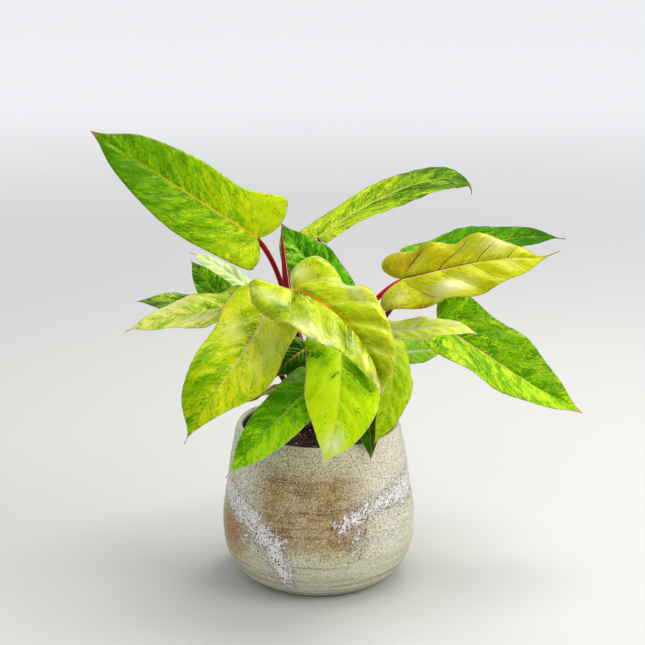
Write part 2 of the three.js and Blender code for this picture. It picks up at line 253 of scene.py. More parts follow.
def makeLeafRelief():
    # Height of the fine side veins and the skin's small cells.
    inputs = {"Vein Place": "vector", "Vein Space": "value"}
    tree, given, result = startGroup("leafRelief", inputs, {"Height": "value"})
    across, along, _ = split(tree, given["Vein Place"])
    gap = veinGap(tree, given)
    bend = grain(tree, stretch(tree, given["Vein Place"], (0.16, 0.05, 1.0)), 1.0, 1.0)
    turns = timesPlus(tree, bend, 9.0, times(tree, across, 3.3))
    ripple = sums(tree, "SINE", turns)
    cells = grain(tree, stretch(tree, given["Vein Place"], (1.5, 0.9, 1.0)), 1.0, 2.0)
    height = timesPlus(tree, ripple, 0.16, times(tree, cells, 0.5))
    sunk = ease(tree, gap, 0.0, 0.9, -0.9, 0.0)
    feed(tree, result["Height"], plus(tree, height, sunk))
    return tree


def makeSpeckle():
    # Scattered spots of one size: Mask is 1 on a spot.
    inputs = {"Place": "vector", "Size": "value", "Share": "value", "Seed": "value"}
    tree, given, result = startGroup("speckle", inputs, {"Mask": "value"})
    cells = put(tree, "ShaderNodeTexVoronoi")
    scaled = sums(tree, "DIVIDE", 1.0, given["Size"])
    shifted = put(tree, "ShaderNodeVectorMath", operation="ADD")
    feed(tree, shifted.inputs[0], given["Place"])
    feed(tree, shifted.inputs[1], given["Seed"])
    feed(tree, cells.inputs["Vector"], shifted.outputs[0])
    feed(tree, cells.inputs["Scale"], scaled)
    tone = split(tree, cells.outputs["Color"])[0]
    chosen = sums(tree, "LESS_THAN", tone, given["Share"])
    size = timesPlus(tree, sums(tree, "DIVIDE", tone, given["Share"]), 0.2, 0.22)
    near = ease(tree, cells.outputs["Distance"], times(tree, size, 0.7), size, 1.0, 0.0)
    feed(tree, result["Mask"], times(tree, near, chosen))
    return tree


mottling = makeMottling()
leafLines = makeLeafLines()
leafRelief = makeLeafRelief()
speckle = makeSpeckle()
print("stage: shared shader groups")


# Mesh helpers

def makePiece(name, points, faces, material, node, attributes=None):
    mesh = bpy.data.meshes.new(name)
    mesh.from_pydata((np.asarray(points) * millimetre).tolist(), [], faces)
    mesh.polygons.foreach_set("use_smooth", [True] * len(mesh.polygons))
    for label, values in (attributes or {}).items():
        store = mesh.attributes.new(label, "FLOAT_VECTOR", "POINT")
        store.data.foreach_set("vector", np.asarray(values, float).ravel())
    mesh.materials.append(material)
    mesh.update()
    piece = bpy.data.objects.new(name, mesh)
    bpy.context.collection.objects.link(piece)
    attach(piece, "root")
    if node:
        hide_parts(node)
    return piece


def unit(vectors):
    # A vector without length stays as it is, because dividing by zero would lose the point.
    vectors = np.asarray(vectors, float)
    return vectors / np.maximum(np.linalg.norm(vectors, axis=-1, keepdims=True), 1e-12)


def smoothLine(knots, places):
    # A Catmull-Rom line through the knots, places in knots from the first.
    knots = np.asarray(knots, float)
    padded = np.vstack([knots[:1], knots, knots[-1:]])
    places = np.clip(np.asarray(places, float), 0, len(knots) - 1)
    i = np.minimum(places.astype(int), len(knots) - 2)
    t = (places - i)[..., None]
    a, b, c, d = padded[i], padded[i + 1], padded[i + 2], padded[i + 3]
    cube = 3 * b - 3 * c + d - a
    return 0.5 * (2 * b + (c - a) * t + (2 * a - 5 * b + 4 * c - d) * t ** 2 + cube * t ** 3)


def bezier(points, u):
    p, u = np.asarray(points, float), np.asarray(u, float)[..., None]
    w = 1 - u
    place = w ** 3 * p[0] + 3 * w * w * u * p[1] + 3 * w * u * u * p[2] + u ** 3 * p[3]
    along = w * w * (p[1] - p[0]) + 2 * w * u * (p[2] - p[1]) + u * u * (p[3] - p[2])
    return place, unit(along)


def cubicThrough(points):
    p = np.asarray(points, float)
    second = (-5 * p[0] + 18 * p[1] - 9 * p[2] + 2 * p[3]) / 6
    third = (2 * p[0] - 9 * p[1] + 18 * p[2] - 5 * p[3]) / 6
    return np.array([p[0], second, third, p[3]])


def tubeFaces(rings, sides):
    faces = []
    for low in range(0, (rings - 1) * sides, sides):
        for i in range(sides):
            j = (i + 1) % sides
            faces.append((low + i, low + j, low + sides + j, low + sides + i))
    return faces


def loftFaces(rings, sides):
    faces = tubeFaces(rings, sides)
    faces.append(tuple(range(sides - 1, -1, -1)))
    faces.append(tuple((rings - 1) * sides + i for i in range(sides)))
    return faces


def sweep(path, along, radii, sides, first=(0.0, 0.0, 1.0), section=None):
    # Rings round a path, with the section's turn carried along it.
    angles = np.linspace(0, 2 * math.pi, sides, endpoint=False)
    shape = np.ones(sides) if section is None else section(angles)
    up = np.asarray(first, float)
    points = []
    for centre, way, radius in zip(path, along, radii):
        up = up - way * up.dot(way)
        up /= np.linalg.norm(up)
        side = np.cross(up, way)
        ring = np.cos(angles)[:, None] * up + np.sin(angles)[:, None] * side
        points.append(centre + ring * (radius * shape)[:, None])
    return np.vstack(points)


def turnProfile(profile, sides, bulge=None):
    # A closed lathe round the Z axis; the profile starts and ends on the axis.
    profile = np.asarray(profile, float)
    angles = np.linspace(0, 2 * math.pi, sides, endpoint=False)
    body = profile[1:-1]
    radius = np.repeat(body[:, :1], sides, axis=1)
    height = np.repeat(body[:, 1:], sides, axis=1)
    if bulge:
        radius, height = bulge(radius, height, angles[None])
    rings = np.stack([radius * np.cos(angles), radius * np.sin(angles), height], axis=-1).reshape(-1, 3)
    points = np.vstack([rings, [0, 0, profile[0][1]], [0, 0, profile[-1][1]]])
    last = (len(body) - 1) * sides
    foot, top = len(rings), len(rings) + 1
    faces = tubeFaces(len(body), sides)
    for i in range(sides):
        j = (i + 1) % sides
        faces.append((foot, j, i))
        faces.append((top, last + i, last + j))
    return points, faces


# Pot

pot = {
    "height": 134, "rim": 68.8, "belly": 81, "foot": 50, "wall": 4.4, "floor": 8,
    "sides": 288, "ringHeight": 0.22, "wobble": 0.5, "lump": 0.7,
    "clay": "d6d0b0", "clayShade": "c6bf9c", "sand": "ac9260", "streak": "6b4e28", "dash": "5f4a26",
    "stain": "84602f", "sage": "c8c8ac", "sageLight": "ccd0b8", "ringLine": "8e8a68", "pale": "e8e6d8",
    "shoulder": "e4dcbc", "rust": "b07c56", "grit": "f2ebcf", "pit": "4c3c1c", "speck": "33291a",
    "glaze": "f4f2f1", "glazeShade": "dcd8d2", "glazeGrit": "a3957a", "glazeHole": "43372a", "halo": "86693a",
    "crack": "70522a", "lip": "d2d5b6", "inside": "4c4034",
    "sandMiddle": -136, "sandReach": (25.0, 75.0), "sandFoot": (42.0, 58.0), "sandTop": (100.0, 124.0),
    "paleReach": (26.0, 74.0), "sageEnd": (42.0, 52.0), "shoulderPaintedLightFade": (104.0, 126.0),
    "rustSpot": [(-152, 54, 22), (-152, 54, 22)],
    "specks": ((1.6, 0.5, 3.0), (1.1, 0.45, 17.0)),  # size, share and seed of each layer of spots
    "holes": ((2.2, 0.55, 29.0), (1.3, 0.7, 41.0), (3.2, 0.75, 53.0)),
}
# Glaze bands as angle round the pot and height of their middle, and half the width there.
glazeBands = [
    [(-198, 92, 1), (-184, 88, 5), (-168, 84, 9), (-155, 79, 10.5), (-143, 74, 9.5), (-133, 68, 8.5),
     (-125, 61, 9.5), (-119, 53, 9), (-116, 45, 9), (-113, 35, 9), (-111, 25, 7), (-108, 14, 2.5)],
    [(-120, 57, 5), (-112, 57, 3.5), (-108, 56, 1)],
    [(-140, 52, 2), (-137, 50, 2)],
    [(26, 90, 1), (12, 90, 6), (-8, 89, 12), (-27, 87, 11), (-39, 86, 8.5), (-49, 84, 6.5),
     (-57, 80, 5.5), (-64, 77, 5.5), (-71, 73, 5), (-77, 69, 3.5), (-80, 71, 1)],
    [(-66, 64, 1), (-68, 56, 1.5), (-70, 48, 0.5)],
]
cracks = [
    [(-10, 80), (-36, 78), (-48, 77), (-58, 75), (-68, 73), (-80, 71), (-87, 67), (-92, 62)],
    [(-60, 74), (-63, 57), (-66, 40)], [(-72, 61), (-71, 47)],
]
farAway = 1e3


def roundPot(arc, middle):
    # The way round the pot from its middle, in millimetres, the same on both sides of the back.
    around = 2 * math.pi * pot["belly"]
    return np.mod(arc - middle + around / 2, around) - around / 2


def bandGap(bands, arc, height):
    # Signed gap in millimetres to the nearest band's edge, below 0 inside it.
    gap = np.full(arc.shape, farAway)
    for points in bands:
        line = [(math.radians(p[0]) * pot["belly"], p[1], p[2] if len(p) > 2 else 0.0) for p in points]
        for x, y, half in smoothLine(line, np.linspace(0, len(line) - 1, 12 * len(line))):
            gap = np.minimum(gap, np.hypot(roundPot(arc, x), height - y) - half)
    return gap


def clayColour(tree, place, away, height, rustGap, waves):
    # Sandy in front, pale at the sides, sage at the foot, with rings left by the wheel, and painted light
    # that makes the shoulder paler towards the top.
    cloud, rough, rings, dashes = waves
    colour = tint(tree, ease(tree, cloud, 0.35, 0.65), paint(pot["clay"]), paint(pot["clayShade"]))
    middle = times(tree, ease(tree, height, *pot["sandFoot"]), ease(tree, height, *pot["sandTop"], 1.0, 0.0))
    front = ease(tree, away, *pot["sandReach"], 1.0, 0.15)
    sand = times(tree, times(tree, middle, front), ease(tree, cloud, 0.25, 0.6, 0.6, 1.0))
    colour = coat(tree, colour, pot["sand"], sand)
    colour = coat(tree, colour, pot["streak"], ease(tree, rings, 0.5, 0.68), sand, 0.85)
    patchy = ease(tree, cloud, 0.35, 0.6, 0.3, 1.0)
    colour = coat(tree, colour, pot["dash"], ease(tree, dashes, 0.52, 0.66), patchy, 0.5)
    stain = ease(tree, grain(tree, stretch(tree, place, (1.0, 1.0, 1.7)), 0.07, 3.0, 0.6, 0.6), 0.48, 0.64)
    colour = coat(tree, colour, pot["stain"], stain, sand, 0.7)
    low = ease(tree, timesPlus(tree, cloud, 16.0, height), *pot["sageEnd"], 1.0, 0.0)
    sage = tint(tree, ease(tree, rings, 0.35, 0.65), paint(pot["sage"]), paint(pot["sageLight"]))
    colour = tint(tree, times(tree, low, 0.9), colour, sage)
    colour = coat(tree, colour, pot["ringLine"], ease(tree, rings, 0.5, 0.62), low, 0.65)
    sides = times(tree, ease(tree, away, *pot["paleReach"], 0.0, 0.76), minus(tree, 1.0, low))
    colour = coat(tree, colour, pot["pale"], sides, ease(tree, cloud, 0.3, 0.6, 0.7, 1.0))
    # Painted light: paler towards the top, where the leaves shade the shoulder.
    colour = coat(tree, colour, pot["shoulder"], ease(tree, height, *pot["shoulderPaintedLightFade"], 0.0, 0.35))
    ragged = timesPlus(tree, rough, 22.0, -11.0)
    colour = coat(tree, colour, pot["sand"], ease(tree, plus(tree, rustGap, ragged), -2.0, 9.0, 0.8, 0.0))
    core = plus(tree, rustGap, plus(tree, ragged, 9.0))
    return coat(tree, colour, pot["rust"], ease(tree, core, -5.0, 2.0, 0.8, 0.0)), low


def glazeColour(tree, place, edge, rough, sandGrain):
    # White glaze with brown pin holes, coarser along its edge.
    colour = tint(tree, ease(tree, rough, 0.35, 0.7), paint(pot["glaze"]), paint(pot["glazeShade"]))
    holes, finer, coarse = (spots(tree, place, *layer) for layer in pot["holes"])
    pits = sums(tree, "MAXIMUM", holes, finer)
    pits = sums(tree, "MAXIMUM", pits, times(tree, coarse, ease(tree, edge, -5.0, -2.0, 0.0, 0.8)))
    colour = coat(tree, colour, pot["glazeGrit"], ease(tree, sandGrain, 0.38, 0.48, 0.6, 0.0))
    return coat(tree, colour, pot["glazeHole"], pits), pits


def makePotMaterial():
    material, tree, shader = startMaterial("stoneware")
    place = objectPlace(tree)
    away, height, inner = split(tree, stored(tree, "potPlace"))
    glazeGap, crackGap, rustGap = split(tree, stored(tree, "glazePlace"))
    cloud = grain(tree, place, 0.035, 3.0, 0.6)
    rough = grain(tree, place, 0.22, 4.0, 0.65)
    sandGrain = grain(tree, place, 0.95, 3.0, 0.75)
    rings = grain(tree, stretch(tree, place, (0.012, 0.012, 0.30)), 1.0, 3.0, 0.6)
    dashes = grain(tree, stretch(tree, place, (0.07, 0.07, 0.75)), 1.0, 3.0, 0.65)
    colour, low = clayColour(tree, place, away, height, rustGap, (cloud, rough, rings, dashes))
    clean = timesPlus(tree, low, -0.5, 1.0)
    # Pale grit and dark pits: partly the clay's own speckle, partly painted light and painted shade on its
    # grains.
    colour = coat(tree, colour, pot["grit"], ease(tree, sandGrain, 0.52, 0.66, 0.0, 0.5))
    colour = coat(tree, colour, pot["pit"], ease(tree, sandGrain, 0.36, 0.5, 0.74, 0.0), clean)
    dots, more = (spots(tree, place, *layer) for layer in pot["specks"])
    dots = sums(tree, "MAXIMUM", dots, times(tree, more, 0.8))
    colour = coat(tree, colour, pot["speck"], dots, 0.7, clean)
    ragged = timesPlus(tree, grain(tree, place, 0.55, 5.0, 0.85), 34.0, -17.0)
    ragged = plus(tree, ragged, timesPlus(tree, grain(tree, place, 0.34, 1.0), 22.0, -11.0))
    edge = plus(tree, glazeGap, timesPlus(tree, grain(tree, place, 0.13, 2.0), 9.0, ragged))
    edge = minus(tree, edge, 4.5)
    glaze = times(tree, ease(tree, edge, -0.7, 0.5, 1.0, 0.0), ease(tree, rough, 0.3, 0.5, 0.75, 1.0))
    halo = times(tree, ease(tree, edge, 0.5, 4.0, 1.0, 0.0), ease(tree, rough, 0.4, 0.55))
    colour = coat(tree, colour, pot["halo"], halo, 0.12)
    crack = ease(tree, plus(tree, crackGap, timesPlus(tree, rough, 5.0, -2.5)), 0.35, 0.8, 1.0, 0.0)
    crack = times(tree, crack, ease(tree, sandGrain, 0.4, 0.52))
    colour = coat(tree, colour, pot["crack"], crack, 0.8)
    white, pits = glazeColour(tree, place, edge, rough, sandGrain)
    colour = tint(tree, glaze, colour, white)
    top = pot["height"]
    colour = coat(tree, colour, pot["inside"], inner, ease(tree, height, top - 4.0, top - 2.0, 0.85, 0.0))
    lip = ease(tree, timesPlus(tree, rough, 2.0, height), top - 1.2, top - 0.3)
    feed(tree, shader.inputs["Base Color"], coat(tree, colour, pot["lip"], lip, 0.8))
    feed(tree, shader.inputs["Roughness"], ease(tree, glaze, 0.0, 1.0, 0.86, 0.5))
    shader.inputs["Specular IOR Level"].default_value = 0.35
    relief = timesPlus(tree, sandGrain, 0.8, times(tree, rings, 1.2))
    relief = timesPlus(tree, dots, -0.7, relief)
    relief = timesPlus(tree, glaze, timesPlus(tree, pits, -1.3, 1.1), relief)
    relief = timesPlus(tree, crack, -0.8, relief)
    roughen(tree, shader, relief, 1.0, 0.6)
    return material


def throwPot(radius, heights, angles):
    # Uneven walls, rings from the wheel and soft lumps, on the outside only.
    outer = np.clip((radius - 60) / 12, 0, 1) * np.clip(heights / 6, 0, 1)
    outer = outer * np.clip((pot["height"] - heights) / 5, 0.0, 1)
    swell = pot["wobble"] * (np.sin(2 * angles + 1.1) * 0.6 + np.sin(3 * angles + heights * 0.03) * 0.5)
    lines = np.sin(heights * 0.72 + 0.6 * np.sin(2 * angles)) * np.clip((62 - heights) / 30, 0.15, 1)
    lines = lines + 0.5 * np.sin(heights * 1.45 + np.sin(angles + 2))
    lumps = np.empty_like(radius)
    for row in range(radius.shape[0]):
        for column in range(radius.shape[1]):
            turn = angles[0, column]
            spot = Vector((math.cos(turn) * 4, math.sin(turn) * 4, heights[row, column] * 0.05))
            lumps[row, column] = noise.noise(spot)
    grown = radius + outer * (swell * 0.6 + pot["ringHeight"] * lines + pot["lump"] * lumps)
    lip = np.clip((heights - 126) / 8, 0, 1)
    lifted = heights + lip * 0.35 * np.sin(angles * 5 + 0.6) * np.sin(angles * 3)
    return grown, np.minimum(lifted, pot["height"] + 0.3)


def makePot():
    belly, rim, wall, height = pot["belly"], pot["rim"], pot["wall"], pot["height"]
    outside = [
        (pot["foot"], 0), (pot["foot"] + 9, 2.5), (68, 9), (75, 19), (belly - 1.4, 32), (belly, 48),
        (belly - 0.8, 64), (belly - 3.8, 82), (belly - 6.6, 101), (rim + 2.6, 118), (rim, height - 4),
        (rim - 1, height - 1), (rim - wall / 2, height), (rim - wall + 0.6, height - 1.2),
        (rim - wall, height - 5), (belly - 9, 96), (belly - wall - 1, 60), (belly - wall - 2, 36),
        (66, 18), (54, pot["floor"]),
    ]
    wallLine = smoothLine(outside, np.linspace(0, len(outside) - 1, 9 * (len(outside) - 1) + 1))
    profile = [(0, 0), *wallLine.tolist(), (0, pot["floor"])]
    points, faces = turnProfile(profile, pot["sides"], throwPot)
    x, y, z = points.T
    arc = np.arctan2(y, x) * belly
    inner = (np.hypot(x, y) < rim - 2.5) & (z > pot["floor"] - 1)
    away = np.abs(roundPot(arc, pot["sandMiddle"]))
    gaps = [bandGap(bands, arc, z) for bands in (glazeBands, cracks, [pot["rustSpot"]])]
    places = {"potPlace": np.stack([away, z, inner], axis=-1), "glazePlace": np.stack(gaps, axis=-1)}
    makePiece("stoneware_pot", points, faces, makePotMaterial(), "pot", places)


makePot()
print("stage: pot")


# Nursery pot

growPot = {
    "height": 118.5, "rim": 61.5, "foot": 44, "wall": 1.6, "sides": 160,
    "colour": "171616", "scuff": "3a3836", "dust": "5a4636",
}
touchGap = 0.3  # between pieces that stand against each other


def makeGrowPot():
    material, tree, shader = startMaterial("nurseryPlastic")
    place = objectPlace(tree)
    scuffs = grain(tree, stretch(tree, place, (0.3, 0.3, 1.4)), 1.0, 4.0, 0.7)
    colour = tint(tree, ease(tree, scuffs, 0.5, 0.72), paint(growPot["colour"]), paint(growPot["scuff"]))
    colour = coat(tree, colour, growPot["dust"], spots(tree, place, 2.0, 0.2, 5.0), 0.6)
    feed(tree, shader.inputs["Base Color"], colour)
    feed(tree, shader.inputs["Roughness"], ease(tree, scuffs, 0.3, 0.7, 0.35, 0.6))
    roughen(tree, shader, scuffs, 0.3, 0.2)
    floor, foot, rim, wall = pot["floor"] + touchGap, growPot["foot"], growPot["rim"], growPot["wall"]
    top = floor + growPot["height"]
    profile = [
        (0, floor), (foot, floor), (foot + 1, floor + 1), (rim - 1.6, top - 9), (rim - 1.5, top - 8),
        (rim - 0.2, top - 7.6), (rim, top - 7), (rim, top - 0.8), (rim - 0.3, top - 0.2), (rim - 0.8, top),
        (rim - 1.3, top - 0.2), (rim - wall, top - 0.8), (rim - wall - 0.1, top - 7),
        (rim - 1.5 - wall, top - 9), (foot - wall, floor + wall), (0, floor + wall),
    ]
    points, faces = turnProfile(profile, growPot["sides"])
    makePiece("nursery_pot", points, faces, material, "grow_pot")


makeGrowPot()
print("stage: nursery pot")


# Soil

# Shades are two for the crumbs, one for the paler bits and one for the flecks.
soil = {
    "depth": 113.5, "crown": 4, "sides": 150, "rings": 46, "lumps": 1.3, "rough": 0.75,
    "shades": ("1c100b", "3f2518", "6b3f28", "7c4630"),
    "crownLine": ((0, 14, 28, 45, 57), (4.0, 3.4, 2.6, 1.5, 0.0)),  # height over the distance from the middle
}
bits = {
    "bark_chips": {"count": 900, "sizes": (1.6, 6.0), "shape": (1.0, 0.55, 0.32), "outer": 56.0,
                   "skin": "barkChips", "rough": 0.6, "shades": ("24130c", "4a2a1b", "7c4630", "9a6a48")},
    "perlite": {"count": 90, "sizes": (0.9, 2.2), "shape": (1.0, 0.9, 0.8), "outer": 55.0,
                "skin": "perlite", "rough": 0.8, "shades": ("dcd6ca", "f2eee6", "c8bfae", "8a7a66")},
}
soilBottom = pot["floor"] + touchGap + growPot["wall"] + touchGap
soilTop = soilBottom + soil["depth"]
stemFoot = soilTop + soil["crown"] - 34


def soilHeight(radius, angle):
    level = soilTop + np.interp(radius, *soil["crownLine"])
    spot = Vector((radius * math.cos(angle) * 0.14, radius * math.sin(angle) * 0.14, 0.0))
    lump = noise.noise(spot) + 0.6 * noise.noise(spot * 2.7) + 0.35 * noise.noise(spot * 6.0)
    return level + soil["lumps"] * lump * min(1.0, max(0.25, (57.5 - radius) / 6))


def makeSoilMaterial(name, shades, rough):
    material, tree, shader = startMaterial(name)
    place = objectPlace(tree)
    tone, _, _ = split(tree, stored(tree, "bitTone"))
    crumb = grain(tree, place, 0.9, 5.0, 0.75)
    colour = tint(tree, ease(tree, crumb, 0.38, 0.62), paint(shades[0]), paint(shades[1]))
    colour = coat(tree, colour, shades[2], ease(tree, tone, 0.35, 1.0, 0.0, 0.9))
    colour = coat(tree, colour, shades[3], spots(tree, place, 1.3, 0.16, 9.0), 0.7)
    feed(tree, shader.inputs["Base Color"], colour)
    feed(tree, shader.inputs["Roughness"], ease(tree, crumb, 0.3, 0.7, rough, 0.95))
    roughen(tree, shader, crumb, 1.0, 0.7)
    return material


def heapSoil(radius, heights, angles):
    raised = heights.copy()
    for row in range(1, radius.shape[0]):
        for column in range(radius.shape[1]):
            raised[row, column] = soilHeight(radius[row, column], angles[0, column])
    return radius, raised


def makeSoil():
    clear = growPot["wall"] + touchGap
    edge = growPot["rim"] - 1.5 - clear - 1.2
    foot = growPot["foot"] - clear - 0.4
    radii = np.linspace(edge, 0.8, soil["rings"])
    top = [*[(radius, soilTop) for radius in radii], (0, soilTop + soil["crown"])]
    profile = [(0, soilBottom), (foot, soilBottom), *top]
    points, faces = turnProfile(profile, soil["sides"], heapSoil)
    material = makeSoilMaterial("soilBed", soil["shades"], soil["rough"])
    makePiece("soil_bed", points, faces, material, "soil", {"bitTone": np.zeros((len(points), 3))})


icoCorners = [(-1, 1.618, 0), (1, 1.618, 0), (-1, -1.618, 0), (1, -1.618, 0), (0, -1, 1.618), (0, 1, 1.618),
              (0, -1, -1.618), (0, 1, -1.618), (1.618, 0, -1), (1.618, 0, 1), (-1.618, 0, -1), (-1.618, 0, 1)]
icoFaces = [(0, 11, 5), (0, 5, 1), (0, 1, 7), (0, 7, 10), (0, 10, 11), (1, 5, 9), (5, 11, 4), (11, 10, 2),
            (10, 7, 6), (7, 1, 8), (3, 9, 4), (3, 4, 2), (3, 2, 6), (3, 6, 8), (3, 8, 9), (4, 9, 5),
            (2, 4, 11), (6, 2, 10), (8, 6, 7), (9, 8, 1)]
icoReach = 1.9  # from the middle to a corner


def scatterBits(name, bit):
    # Uneven lumps strewn over the soil, each a dented and stretched ball of 20 faces.
    ball, outer, (small, large) = np.array(icoCorners) / icoReach, bit["outer"], bit["sizes"]
    points, faces, tones = [], [], []
    for _ in range(bit["count"]):
        radius = outer * math.sqrt(dice.uniform(0.012, 1))
        angle = dice.uniform(-math.pi, math.pi)
        size = small + (large - small) * dice.uniform() ** 2.2
        dented = ball * (1 + dice.uniform(-0.28, 0.28, (12, 1)))
        lump = dented * np.array(bit["shape"]) * size * dice.uniform(0.7, 1.2, 3) / 2
        tilt, turn, roll = dice.normal(0, 0.35), dice.uniform(0, 2 * math.pi), dice.normal(0, 0.5)
        spin = np.array(Euler((roll, tilt, turn)).to_matrix())
        lump = lump @ spin.T
        reach = min(radius, outer - size * 0.55)
        base = soilHeight(reach, angle) + size * bit["shape"][2] * dice.uniform(0.05, 0.5)
        lump += [reach * math.cos(angle), reach * math.sin(angle), base]
        low = len(points) * 12
        points.append(lump)
        faces.extend([(a + low, b + low, c + low) for a, b, c in icoFaces])
        tones.append(np.full((12, 3), dice.uniform()))
    material = makeSoilMaterial(bit["skin"], bit["shades"], bit["rough"])
    piece = makePiece(name, np.vstack(points), faces, material, None, {"bitTone": np.vstack(tones)})
    for polygon in piece.data.polygons:
        polygon.use_smooth = False


makeSoil()
for name, bit in bits.items():
    scatterBits(name, bit)
print("stage: soil")


# Stem and petioles

stem = {
    "radius": 5.2, "height": 96, "lean": (3, 2), "sides": 28, "steps": 90, "ringHeight": 0.9,
    "skin": "6d7a2a", "brown": "6b4a2a", "ring": "a08a58", "dots": "b7a774",
}
petiole = {
    "sides": 18, "steps": 42, "bend": 0.4, "groove": 0.16, "foot": 1.9, "spread": 0.7,
    "radii": ((0, 0.07, 0.2, 0.8, 0.95, 1), (3.6, 3.0, 2.35, 2.1, 2.2, 1.5)),  # from the foot to the blade
    "brown": "3f1c18", "flush": "d8505a", "sheen": "ff9070", "shine": 0.2,
}
stemKnots = cubicThrough([
    (stem["lean"][0] * lean, stem["lean"][1] * lean, stemFoot + stem["height"] * third / 3)
    for third, lean in enumerate((0, 0, 0.27, 1))
])


def makeStemMaterial():
    material, tree, shader = startMaterial("stemSkin")
    place = objectPlace(tree)
    ring, _, _ = split(tree, stored(tree, "stemPlace"))
    streak = grain(tree, stretch(tree, place, (0.8, 0.8, 0.12)), 1.0, 4.0, 0.65)
    colour = tint(tree, ease(tree, streak, 0.35, 0.65), paint(stem["skin"]), paint(stem["brown"]))
    colour = coat(tree, colour, stem["ring"], ring, 0.8)
    colour = coat(tree, colour, stem["dots"], spots(tree, place, 1.4, 0.3, 2.0), 0.6)
    feed(tree, shader.inputs["Base Color"], colour)
    feed(tree, shader.inputs["Roughness"], ease(tree, streak, 0.3, 0.7, 0.4, 0.65))
    roughen(tree, shader, streak, 0.6, 0.4)
    return material


def makeStem(heights):
    # Swollen at each leaf scar and rounded off at the top.
    path, along = bezier(stemKnots, np.linspace(0, 1, stem["steps"]))
    level = path[:, 2]
    ring = sum(np.exp(-((level - height + 2.5) / 1.5) ** 2) for height in heights)
    ring = np.minimum(ring, 1.3)
    radii = stem["radius"] * (0.96 - 0.1 * np.clip((level - 165) / 25, 0, 1)) + stem["ringHeight"] * ring
    radii[-3:] *= (0.9, 0.7, 0.3)
    points = sweep(path, along, radii, stem["sides"], (1, 0, 0))
    mask = np.repeat(ring, stem["sides"])
    makePiece("ringed_stem", points, loftFaces(len(path), stem["sides"]), makeStemMaterial(), "stem",
              {"stemPlace": np.stack([mask, mask, mask], axis=-1)})


def leaveStem(height, turn, spread, radius):
    # Where a petiole of this radius starts beside the stem, the way it leaves and the way out.
    at, _ = bezier(stemKnots, (height - stemFoot) / stem["height"])
    outward = np.array([math.cos(math.radians(turn)), math.sin(math.radians(turn)), 0.0])
    away = outward * spread + np.array([0, 0, math.sqrt(1 - spread * spread)])
    clear = stem["radius"] + touchGap + radius * math.sqrt(1 - spread * spread)
    return at + outward * clear, away, outward


def makePetioleMaterial(name, hues):
    # Skin from the blade end, hues[0], to the foot, hues[1], with dark lengthwise streaks.
    material, tree, shader = startMaterial(name)
    place = stored(tree, "petiolePlace")
    reach, _, _ = split(tree, place)
    streak = grain(tree, stretch(tree, place, (9.0, 6.0, 1.0)), 1.0, 4.0, 0.65)
    patch = grain(tree, stretch(tree, place, (5.0, 1.5, 1.0)), 1.0, 2.0)
    along = plus(tree, reach, timesPlus(tree, patch, 0.5, -0.25))
    colour = tint(tree, ease(tree, along, 0.2, 0.85), paint(hues[1]), paint(hues[0]))
    colour = coat(tree, colour, petiole["brown"], ease(tree, streak, 0.52, 0.7, 0.0, 0.55))
    colour = coat(tree, colour, petiole["flush"], ease(tree, streak, 0.3, 0.45, 0.3, 0.0))
    feed(tree, shader.inputs["Base Color"], colour)
    feed(tree, shader.inputs["Roughness"], ease(tree, streak, 0.3, 0.7, 0.28, 0.42))
    setShine(shader, petiole["shine"], petiole["sheen"])
    roughen(tree, shader, streak, 0.5, 0.15)
    return material


def makePetiole(name, leaf):
    setting, sides = leaf["petiole"], petiole["sides"]
    spread = setting.get("spread", petiole["spread"])
    start, away, outward = leaveStem(setting["height"], setting["turn"], spread, petiole["foot"])
    place, along, normal = (value[0] for value in frameAt(leaf, np.zeros(1))[:3])
    reach = place - start
    into = unit(unit(reach) * 0.5 + along * 0.3 + normal * 0.3)
    if "arrive" in setting:
        into = unit(setting["arrive"])
    end = place - normal * 0.9
    bend = np.linalg.norm(reach) * petiole["bend"]
    u = np.linspace(0, 1, petiole["steps"])
    path, way = bezier([start, start + away * bend, end - into * bend, end], u)
    inner = start - outward * (stem["radius"] * 0.75) - np.array([0, 0, 1.5])
    path = np.vstack([inner, path])
    way = np.vstack([unit(path[1] - inner), way])
    u = np.concatenate([[0], u])

    def channel(angles):
        return 1 - petiole["groove"] * np.exp(-(np.minimum(angles, 2 * math.pi - angles) / 0.5) ** 2)

    points = sweep(path, way, np.interp(u, *petiole["radii"]), sides, normal, channel)
    angles = np.tile(np.linspace(0, 1, sides, endpoint=False), len(path)) * 2 * math.pi
    waves = np.stack([np.repeat(u, sides), np.sin(angles), np.cos(angles)], axis=-1)
    material = makePetioleMaterial("stalk_" + name, leaf["stalk"])
    makePiece("stalk_" + name, points, loftFaces(len(path), sides), material, "petiole_" + name,
              {"petiolePlace": waves})


# Sheath of the newest leaf

sheath = {
    "height": 187, "turn": 204, "tip": (-30, -11, 300), "lean": (-0.12, 0.02, 1), "bend": 36,
    "radii": (1.9, 2.9, 3.7, 3.8, 3.2, 2.1, 0.15), "sides": 40, "steps": 70, "lap": 0.16, "seamTurn": 0.08,
    "skin": "84101a", "dark": "460a10", "flush": "a42830", "seam": "f0b8a4",
}


def makeSheathMaterial():
    material, tree, shader = startMaterial("sheathSkin")
    place = stored(tree, "sheathPlace")
    reach, lap, _ = split(tree, place)
    streak = grain(tree, stretch(tree, place, (5.0, 40.0, 1.0)), 1.0, 3.0, 0.6)
    colour = tint(tree, ease(tree, streak, 0.35, 0.65), paint(sheath["dark"]), paint(sheath["skin"]))
    colour = coat(tree, colour, sheath["flush"], ease(tree, reach, 0.2, 0.9, 0.0, 0.45))
    colour = coat(tree, colour, sheath["seam"], ease(tree, lap, 0.93, 0.975))
    feed(tree, shader.inputs["Base Color"], colour)
    feed(tree, shader.inputs["Roughness"], ease(tree, streak, 0.3, 0.7, 0.3, 0.45))
    setShine(shader, petiole["shine"], petiole["sheen"])
    roughen(tree, shader, streak, 0.5, 0.2)
    return material


